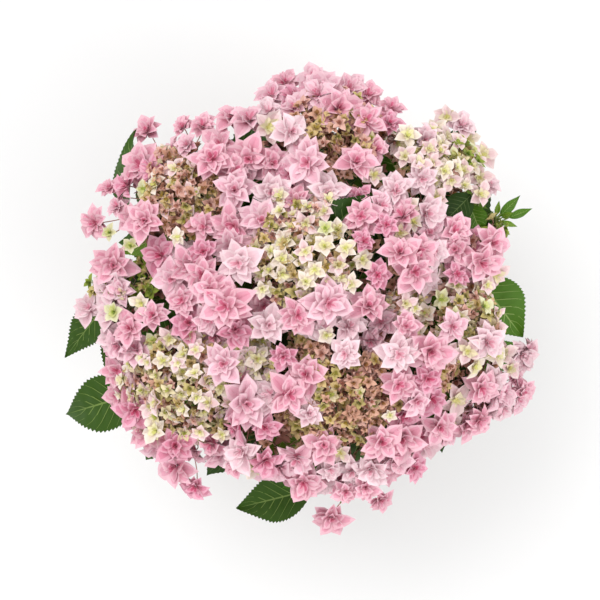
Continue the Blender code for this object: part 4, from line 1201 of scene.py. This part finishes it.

# the most showy florets of each head: plan place and radius in millimetres, tint, and how far each one
# faces up (1) or out of the crown's side (-1); blush, cream and green ones are young; deep ones mostly lie
# under others, and their darker tint is partly painted shade
showyFlorets = {
    "a": (
        (-157, 174, 16, "pink", -0.5), (-116, 172, 13, "pink", -1), (-97, 172, 14, "pink", -1),
        (-158, 133, 22, "pink", 0.5), (-110, 152, 13, "soft", 0), (-85, 136, 21, "pink", 0.5),
        (-192, 112, 13, "pink", -0.7), (-182, 93, 13, "soft", -0.7), (-206, 78, 16, "pink", -1.2),
        (-150, 77, 19, "pink", 0.3), (-92, 70, 16, "pink", 0.3), (-189, 67, 10, "green", 0),
        (-166, 53, 9, "green", 0), (-154, 109, 9, "green", 0), (-134, 149, 9, "cream", 0),
        (-118, 60, 9, "cream", 0.2)),
    "b": (
        (-67, 179, 19, "pink", -0.4), (-51, 176, 22, "soft", 0.3), (-28, 204, 18, "soft", 0),
        (-16, 219, 14, "pink", -0.5), (13, 221, 20, "soft", -0.3), (22, 207, 22, "soft", 0.2),
        (50, 213, 19, "soft", -0.3), (68, 206, 16, "pink", -0.3), (36, 187, 22, "pink", 0.4),
        (64, 176, 21, "pink", 0.4), (91, 192, 15, "pink", -0.5), (88, 174, 13, "deep", 0),
        (-32, 168, 19, "blush", 0.4), (-10, 162, 18, "pale", 0.3), (8, 132, 24, "soft", 0.6),
        (-49, 138, 22, "pink", 0.5), (-27, 132, 18, "pink", 0.3), (54, 131, 18, "pink", 0.5),
        (25, 103, 21, "pale", 0.5), (-28, 104, 20, "pale", 0.5), (-63, 105, 21, "soft", 0.5),
        (56, 100, 12, "deep", 0), (71, 121, 13, "blush", 0.3)),
    "c": (
        (135, 172, 14, "cream", 0.3), (152, 189, 17, "blush", 0.1), (167, 180, 17, "pale", 0.1),
        (173, 166, 14, "cream", 0.3), (188, 150, 17, "blush", 0.2), (181, 124, 14, "blush", 0.2),
        (191, 116, 13, "pale", -0.2), (105, 161, 14, "cream", 0.3), (103, 140, 14, "blush", 0.3),
        (139, 153, 11, "cream", 0.3), (151, 140, 11, "green", 0.3), (149, 118, 13, "blush", 0.4),
        (162, 113, 10, "cream", 0.3), (134, 100, 14, "blush", 0.4), (119, 119, 16, "pale", 0.4),
        (92, 105, 18, "pale", 0.4), (105, 90, 12, "cream", 0.4), (180, 106, 14, "blush", 0.2),
        (123, 159, 15, "pale", 0.3), (109, 75, 11, "cream", 0.3), (97, 64, 14, "blush", 0.4),
        (130, 134, 11, "blush", 0.3), (173, 134, 11, "cream", 0.2),
        (146, 164, 13, "blush", 0.3), (160, 161, 12, "cream", 0.3), (127, 148, 12, "blush", 0.4),
        (141, 126, 12, "cream", 0.4), (163, 128, 12, "blush", 0.3), (115, 132, 13, "blush", 0.4)),
    "d": (
        (5, 46, 11, "blush", 0.3), (43, 48, 12, "cream", 0.4), (60, 38, 13, "cream", 0.4),
        (14, 29, 11, "cream", 0.3), (5, 17, 11, "cream", 0.3), (48, 16, 11, "cream", 0.3),
        (-36, 11, 10, "cream", 0.2), (24, 68, 9, "green", 0), (26, -3, 24, "soft", 0.6),
        (-3, -14, 19, "pink", 0.4), (-31, -24, 19, "pale", 0.5), (65, -7, 20, "pink", 0.4),
        (73, 24, 13, "deep", 0)),
    "e": (
        (-63, 71, 23, "pink", 0.6), (-65, 52, 19, "soft", 0.3), (-58, 35, 21, "pale", 0.5),
        (-92, 46, 16, "deep", 0.2), (-93, 24, 19, "pink", 0.4), (-69, -5, 25, "pink", 0.6),
        (-84, 10, 17, "pink", 0.2), (-113, 0, 16, "pink", 0.5)),
    "f": (
        (-181, -70, 18, "pink", 0.2), (-179, -95, 17, "pink", 0.2), (-73, -61, 20, "soft", 0.5),
        (-153, -129, 20, "pink", 0), (-123, -166, 20, "pink", 0), (-105, -186, 15, "deep", -1),
        (-53, -99, 26, "soft", 0.6), (-34, -122, 16, "deep", 0.3), (-116, -60, 10, "blush", 0.2),
        (-100, -48, 9, "blush", 0.2), (-147, -60, 9, "blush", 0.2), (-146, -104, 12, "blush", 0.2),
        (-97, -127, 10, "blush", 0.2), (-76, -130, 9, "cream", 0.2)),
    "g": (
        (-184, 35, 22, "pink", 0.5), (-210, -8, 17, "pale", 0.5), (-181, -12, 11, "green", 0.2),
        (-154, -3, 13, "cream", 0.3), (-142, -15, 16, "pink", 0.3), (-165, -28, 17, "pink", 0.2)),
    "h": (
        (43, -51, 16, "pale", 0.7), (-11, -90, 22, "pink", 0.5), (8, -109, 14, "pale", 0.2),
        (87, -111, 8, "cream", 0.2), (39, -148, 12, "blush", 0.3), (29, -165, 13, "pale", 0.3),
        (51, -166, 17, "pale", 0.3), (-16, -53, 14, "deep", 0.3), (25, -33, 10, "cream", 0.2)),
    "i": (
        (-55, -146, 20, "pale", 0.4), (-63, -159, 13, "pink", 0), (-33, -153, 19, "deep", 0.2),
        (3, -179, 22, "pink", 0.5)),
    "k": (
        (58, 80, 18, "pink", 0.4), (82, 71, 12, "deep", 0), (60, 55, 12, "deep", 0),
        (94, 44, 18, "pink", 0.5), (109, 27, 20, "pink", 0.5), (101, -3, 12, "blush", 0.2)),
    "l": (
        (150, 67, 19, "pink", 0.4), (152, 49, 18, "pink", 0.3), (176, 37, 21, "pink", 0.5),
        (188, 56, 17, "pink", 0), (153, 25, 13, "deep", 0), (191, 26, 15, "blush", 0.3),
        (183, 15, 11, "blush", 0.2)),
    "m": (
        (189, -26, 15, "blush", 0.2), (201, -53, 16, "blush", 0.2), (228, -55, 18, "pale", 0),
        (236, -53, 14, "soft", -0.8), (229, -64, 15, "pale", 0.3), (212, -69, 13, "blush", 0.3),
        (148, -15, 9, "green", 0.1), (111, -8, 8, "cream", 0.1),
        (146, -25, 15, "soft", 0.3), (142, -54, 11, "blush", 0.2)),
    "n": (
        (179, -87, 18, "pink", 0.2), (203, -95, 16, "soft", 0), (178, -119, 16, "pink", -0.3),
        (208, -110, 17, "pale", -0.3), (229, -94, 15, "pink", -0.6),
        (220, -83, 14, "soft", 0.2), (224, -101, 14, "soft", 0.1), (191, -79, 14, "pale", 0.3)),
    "o": (
        (124, -48, 21, "pink", 0.5), (94, -51, 19, "pale", 0.5), (94, -81, 19, "pink", 0.5),
        (122, -75, 17, "deep", 0.4), (127, -96, 17, "deep", 0.3), (101, -25, 14, "pink", 0.2)),
    "p": (
        (79, -138, 20, "pink", 0.3), (101, -134, 22, "pink", 0.4), (112, -166, 14, "deep", -0.4),
        (80, -199, 13, "pink", -0.7), (65, -183, 14, "pink", 0), (45, -188, 13, "pink", 0),
        (32, -219, 19, "pink", 0.5), (137, -124, 17, "pink", -0.3)),
}

# patches of buds: plan place and radius in millimetres, their mix, and the spacing of the young florets
# that have opened among them, 0 for none
budPatches = {
    "a": ((-107, 97, 36, "brown", 24), (-118, 128, 22, "brown", 22)),
    "b": ((32, 162, 40, "brown", 0),),
    "c": ((164, 145, 15, "green", 14), (135, 128, 13, "olive", 12), (116, 147, 13, "olive", 13)),
    "d": ((5, 48, 54, "olive", 11),),
    "f": ((-114, -86, 54, "olive", 14), (-53, -48, 20, "olive", 11)),
    "g": ((-167, 22, 18, "green", 0), (-191, 17, 11, "green", 0)),
    "h": ((-40, -68, 16, "brown", 11), (51, -97, 46, "brown", 0), (8, -48, 18, "brown", 0),
          (-2, -126, 21, "brown", 0)),
    "m": ((151, -12, 42, "olive", 13),),
    "k": ((106, 0, 17, "brown", 13),),
    "l": ((206, 86, 8, "fresh", 0), (208, 74, 7, "fresh", 0)),
    "o": ((147, -77, 16, "brown", 0),),
}

# places where leaves or light show through: plan place and radius in millimetres
clearings = (
    (-183, 160, 14), (-186, 131, 12), (-177, 104, 9), (-103, 153, 7), (-228, -34, 16), (-214, -52, 14),
    (-190, -50, 12), (-218, -112, 22), (-196, -70, 8), (157, 90, 17), (181, 78, 13), (40, 80, 16),
    (207, -4, 24), (-148, 28, 9), (-140, 8, 8), (-93, 160, 7), (0, 189, 6), (-58, 14, 9), (-48, -11, 7),
    (56, 28, 9), (44, 69, 7), (75, 52, 6), (101, 128, 6), (31, -121, 6), (71, -122, 6), (90, -119, 6),
    (-5, -144, 6), (122, 41, 6), (-176, 89, 7), (204, 80, 16), (146, -152, 8), (94, -176, 8))

# the crown's bays and bulges: bearing, and how far out the common florets stand, in millimetres
rimReach = (
    (-180, 185), (-155, 188), (-133, 206), (-118, 170), (-95, 162), (-75, 188), (-52, 184), (-30, 217),
    (-15, 207), (0, 165), (20, 188), (40, 204), (58, 184), (85, 203), (105, 188), (125, 190), (145, 206),
    (163, 185), (180, 185))


def crownSpot(head, direction, share, lift):
    # place and facing of a floret whose direction from the growth centre is given
    reach = crownReach(direction)
    facing = crownFacing(growthCentre + direction * reach)
    bulge = crown["bulge"] * (1 - min(share, crown["bulgeEnd"]) ** 2)
    place = growthCentre + direction * reach * (1 + bulge + lift)
    return place, (facing + (direction - head.direction) * crown["roundness"]).normalized()


def candidatesOn(head, outer, count):
    found = []
    side = sideOf(head.direction)
    other = head.direction.cross(side)
    for _ in range(count):
        share = math.sqrt(head.random.random()) * outer
        bearing = head.random.uniform(0, fullTurn)
        angle = share * head.width
        flat = side * math.cos(bearing) + other * math.sin(bearing)
        direction = head.direction * math.cos(angle) + flat * math.sin(angle)
        place, _ = crownSpot(head, direction, share, 0.0)
        room = min(-normal.dot(place - growthCentre) for normal in head.planes)
        if room > 0.0 and place.z > crown["lowest"]:
            found.append((place, direction, share))
    return [spot for spot in found if not inPatch(spot[0]) and not inClearing(spot[0])]


def candidatesIn(patch, head, count):
    # spots over one bud patch, which lies in plan as a disc
    x, y, radius, mix, _ = patch
    found = []
    for _ in range(count):
        reach = radius / perMetre * math.sqrt(head.random.random())
        bearing = head.random.uniform(0, fullTurn)
        flat = Vector((x / perMetre + reach * math.cos(bearing), y / perMetre + reach * math.sin(bearing), 0))
        spot = flat + up * crownHeight(flat.length)
        direction = (spot - growthCentre).normalized()
        found.append((spot, direction, direction.angle(head.direction) / head.width))
    return [spot for spot in found if mix == "fresh" or not inClearing(spot[0])]


def spreadOut(candidates, taken, spacing, chance):
    # takes the candidate that lies furthest from all taken ones, until none is further off than spacing
    places = np.array([tuple(candidate[0]) for candidate in candidates])
    weights = np.array([chance.uniform(*unevenSpacing) for _ in candidates])
    distance = np.full(len(places), 1.0)
    for spot in taken:
        distance = np.minimum(distance, np.linalg.norm(places - np.array(tuple(spot)), axis=1))
    chosen = []
    while True:
        best = int(np.argmax(distance * weights))
        if distance[best] * weights[best] < spacing:
            return chosen
        chosen.append(candidates[best])
        distance = np.minimum(distance, np.linalg.norm(places - places[best], axis=1))


def tilted(facing, chance, amount):
    shift = Vector([chance.gauss(0, amount) for _ in range(3)])
    return (facing + shift).normalized()


def inDisc(place, x, y, radius, margin=0.0):
    return math.hypot(place.x - x / perMetre, place.y - y / perMetre) < radius / perMetre + margin


def inClearing(place):
    return any(inDisc(place, *clearing) for clearing in clearings)


def inPatch(place):
    return any(inDisc(place, x, y, radius * patchEdge["share"], patchEdge.get(mix, 0.0))
               for patches in budPatches.values() for x, y, radius, mix, _ in patches)


def drawnIn(place):
    # pulls a place in to the outline of the common florets
    bearing = math.degrees(math.atan2(place.y, place.x))
    limit = float(np.interp(bearing, *zip(*rimReach))) / perMetre
    scale = min(1.0, limit / place.xy.length)
    return Vector((place.x * scale, place.y * scale, place.z))


def placeShowy():
    # fills head.florets with (kind, place, facing, radius, tint)
    for head in heads:
        for x, y, radius, tint, upness in showyFlorets[head.name]:
            flat = Vector((x, y, 0)) / perMetre
            place = flat + up * crownHeight(flat.length) - growthCentre
            share = place.angle(head.direction) / head.width
            lift = 1 + crown["bulge"] * max(0.0, 1 - share ** 2) + head.random.uniform(*showyPlan["lift"])
            place = growthCentre + place * lift
            place.x, place.y = flat.x, flat.y
            level, slope = showyPlan["up"]
            facing = crownFacing(place).lerp(up, max(showyPlan["leastUp"], level + slope * upness))
            kind = "half" if tint in floretKinds["half"]["tints"] else "open"
            tint = list(floretKinds[kind]["tints"]).index(tint)
            facing = tilted(facing, head.random, showyPlan["sway"])
            head.florets.append((kind, place, facing, radius * showyPlan["scale"][kind] / perMetre, tint))


def fillCommon():
    plan = commonPlan
    taken = [floret[1] for head in heads for floret in head.florets]
    for head in heads:
        chance = head.random
        spots = candidatesOn(head, plan["within"], plan["tries"])
        for place, direction, share in spreadOut(spots, taken, plan["spacing"], chance):
            taken.append(place)
            below = max(0.0, plan["rimHeight"] - place.z) / (plan["rimHeight"] - crown["lowest"])
            lift = chance.uniform(*plan["lift"]) - plan["rimDraw"] * below
            place, facing = crownSpot(head, direction, share, lift)
            facing = tilted(facing.lerp(up, plan["up"]), chance, plan["sway"])
            radius = chance.uniform(*plan["radius"])
            kind, mix = "open", "pale" if head.name in plan["paleHeads"] else "pink"
            if chance.random() < plan["youngShares"].get(head.name, plan["youngShare"]):
                kind, mix = "half", "common"
                radius *= plan["youngScale"]
            tint = dealt(chance, floretKinds[kind]["mixes"][mix])
            head.florets.append((kind, drawnIn(place), facing, radius, tint))


def fillSmall(head, plan, mix, spots, taken, spacing):
    chance = head.random
    for _, direction, share in spreadOut(spots, taken, spacing, chance):
        place, facing = crownSpot(head, direction, share, chance.uniform(*plan["lift"]))
        place = drawnIn(place) if mix == "under" else place
        radius = chance.uniform(*plan["radius"])
        tint = dealt(chance, floretKinds[plan["kind"]]["mixes"][mix])
        facing = tilted(facing, chance, plan["sway"])
        head.florets.append((plan["kind"], place, facing, radius, tint))


def fillPatches():
    for head in heads:
        for patch in budPatches.get(head.name, ()):
            mix, youngSpacing = patch[3:]
            opened = [floret[1] for floret in head.florets if floret[0] != "bud"]
            for label, taken in (("young", opened), ("upper", []), ("lower", [])):
                plan = smallPlans[label]
                spacing = plan.get("spacing", youngSpacing / perMetre)
                if spacing:
                    fillSmall(head, plan, mix, candidatesIn(patch, head, plan["tries"]), taken, spacing)


def fillUnder():
    # unopened buds between and below the open florets; their under mix is mostly the dark shade tint, painted
    # shade in the gaps
    for head in heads:
        plan = smallPlans["under"]
        spots = candidatesOn(head, plan["within"], plan["tries"])
        fillSmall(head, plan, "under", spots, [], plan["spacing"])


placeShowy()
fillCommon()
fillPatches()
fillUnder()

for head in heads:
    for kind, place, facing, radius, tint in head.florets:
        plan = floretKinds[kind]
        turn = spun(facing, head.random.uniform(0, fullTurn))
        shape = head.random.randrange(plan["shapes"])
        plan.setdefault("spots", []).append((place, turn, radius, shape, tint))
for kind, plan in floretKinds.items():
    print(f"  {kind}: {len(plan['spots'])}")
    finishes = [
        plainFinish(f"{plan['finish']}{tint.capitalize()}{number}", colour, plan["roughness"],
                    Specular_IOR_Level=0.2, Sheen_Weight=0.25, Sheen_Roughness=0.4)
        for tint, colours in plan["tints"].items() for number, colour in enumerate(colours)]
    for part in range(plan["parts"]):
        name = f"{plan['piece']}_{part + 1}" if plan["parts"] > 1 else plan["piece"]
        copies = [shape.copy() for shape in plan["meshes"]]
        made = scattered(name, plan["spots"][part::plan["parts"]], copies, finishes,
                         len(finishes) // len(plan["tints"]), petalPlan["uneven"])
        finishedPiece(made, plan["slot"], nodesOf["flower_head"])


# each head's stalk forks into main rays, side rays and flower stalks

print("rays")
# rootFrom: where along the stalk the first and the last main ray leave it
rayPlan = {"stalkIn": 0.22, "stalkTaper": (1, 0.9, 0.6), "mains": 8, "mainShare": 0.42, "mainRadius": 0.0013,
           "mainPoints": 4, "rootFrom": (0.1, 0.9), "rootLean": 0.5, "perSide": 5, "sideShare": 0.60,
           "sideRadius": 0.0009, "sidePoints": 3, "stalkRadius": 0.00055, "stalkPoints": 6,
           "budStalkRadius": 0.00035, "budStalkPoints": 4, "stalkSweep": 0.4, "stalkFlare": 1.3, "rounds": 3,
           "sides": 5}


def clusters(florets, count):
    # furthest-point seeds, then a few rounds of means: each cluster's number as a share, centre and florets
    points = np.array([tuple(floret[1]) for floret in florets])
    centres = [points[0]]
    while len(centres) < min(count, len(points)):
        distance = np.min([np.linalg.norm(points - centre, axis=1) for centre in centres], axis=0)
        centres.append(points[int(np.argmax(distance))])
    for _ in range(rayPlan["rounds"]):
        nearest = np.argmin([np.linalg.norm(points - centre, axis=1) for centre in centres], axis=0)
        centres = [points[nearest == index].mean(axis=0) if np.any(nearest == index) else centre
                   for index, centre in enumerate(centres)]
    for index, centre in enumerate(centres):
        members = [floret for floret, number in zip(florets, nearest) if number == index]
        if members:
            yield index / len(centres), Vector(centre), members


def growRays():
    lines = []
    for head in heads:
        stalkTop = head.fork + head.axis * head.spread * rayPlan["stalkIn"]
        lines.append(([head.foot, head.fork, stalkTop],
                      [limbs["shootTip"] * share for share in rayPlan["stalkTaper"]], 0))
        for share, centre, members in clusters(head.florets, rayPlan["mains"]):
            root = mixed(head.fork, stalkTop, mixed(*rayPlan["rootFrom"], share))
            joint = mixed(root, centre, rayPlan["mainShare"])
            run = (joint - root).normalized()
            leaving = (head.axis * rayPlan["rootLean"] + run).normalized()
            points = bend(root, leaving, joint, rayPlan["mainPoints"])
            lines.append((points, [rayPlan["mainRadius"]] * len(points), 0))
            for _, sideCentre, final in clusters(members, max(1, len(members) // rayPlan["perSide"])):
                sideJoint = mixed(joint, sideCentre, rayPlan["sideShare"])
                points = bend(joint, run, sideJoint, rayPlan["sidePoints"])
                lines.append((points, [rayPlan["sideRadius"]] * len(points), 0))
                for kind, place, facing, _, _ in final:
                    stalk = "budStalk" if kind == "bud" else "stalk"
                    thin = rayPlan[stalk + "Radius"]
                    line = bend(place, -facing, sideJoint, rayPlan[stalk + "Points"], rayPlan["stalkSweep"])
                    lines.append((line, [thin * rayPlan["stalkFlare"]] + [thin] * (len(line) - 1), 1))
    return lines


rayFinishes = [plainFinish("rayGreen", (128, 128, 76), 0.55), plainFinish("rayPink", (190, 132, 122), 0.55)]
rays = tubed("flowerRays", growRays(), rayFinishes, rayPlan["sides"])
finishedPiece(rays, "leaf", nodesOf["flower_head"])


# floor, light and camera

print("stage")
# lights: place, power in watts and size; the camera's angle is its field of view
stage = {"floorSize": 6.0, "floorTint": (0.94, 0.94, 0.94), "cameraHeight": 2.05,
         "cameraAngle": 2 * math.atan(300 / 1684), "worldLight": 0.86, "aim": (0, 0, 0.3),
         "lights": {"key": ((-0.9, 0.9, 2.4), 22, 1.5), "fill": ((1.4, -1.0, 1.8), 15, 1.5)}}

half = stage["floorSize"] / 2
corners = [(-half, -half, 0), (half, -half, 0), (half, half, 0), (-half, half, 0)]
floor = newObject("floor", meshOf("floor", corners, [(0, 1, 2, 3)]))
floor.data.materials.append(Finish("paleFloor", stage["floorTint"], 0.9).material)
floor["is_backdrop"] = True

for name, (place, power, size) in stage["lights"].items():
    light = bpy.data.lights.new(name, "AREA")
    light.energy = power
    light.size = size
    lamp = newObject(name, light)
    lamp.location = place
    lamp.rotation_euler = (Vector(stage["aim"]) - Vector(place)).to_track_quat("-Z", "Y").to_euler()
world = bpy.data.worlds.new("studio")
world.use_nodes = True
world.node_tree.nodes["Background"].inputs["Color"].default_value = (1, 1, 1, 1)
world.node_tree.nodes["Background"].inputs["Strength"].default_value = stage["worldLight"]
scene.world = world
scene.view_settings.view_transform = "Standard"

camera = bpy.data.cameras.new("camera")
camera.angle = stage["cameraAngle"]
viewer = newObject("camera", camera)
viewer.location = (0, 0, stage["cameraHeight"])
scene.camera = viewer

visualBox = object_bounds()
print("sizes", [[round(value, 4) for value in corner] for corner in (*cadBox, *visualBox)])
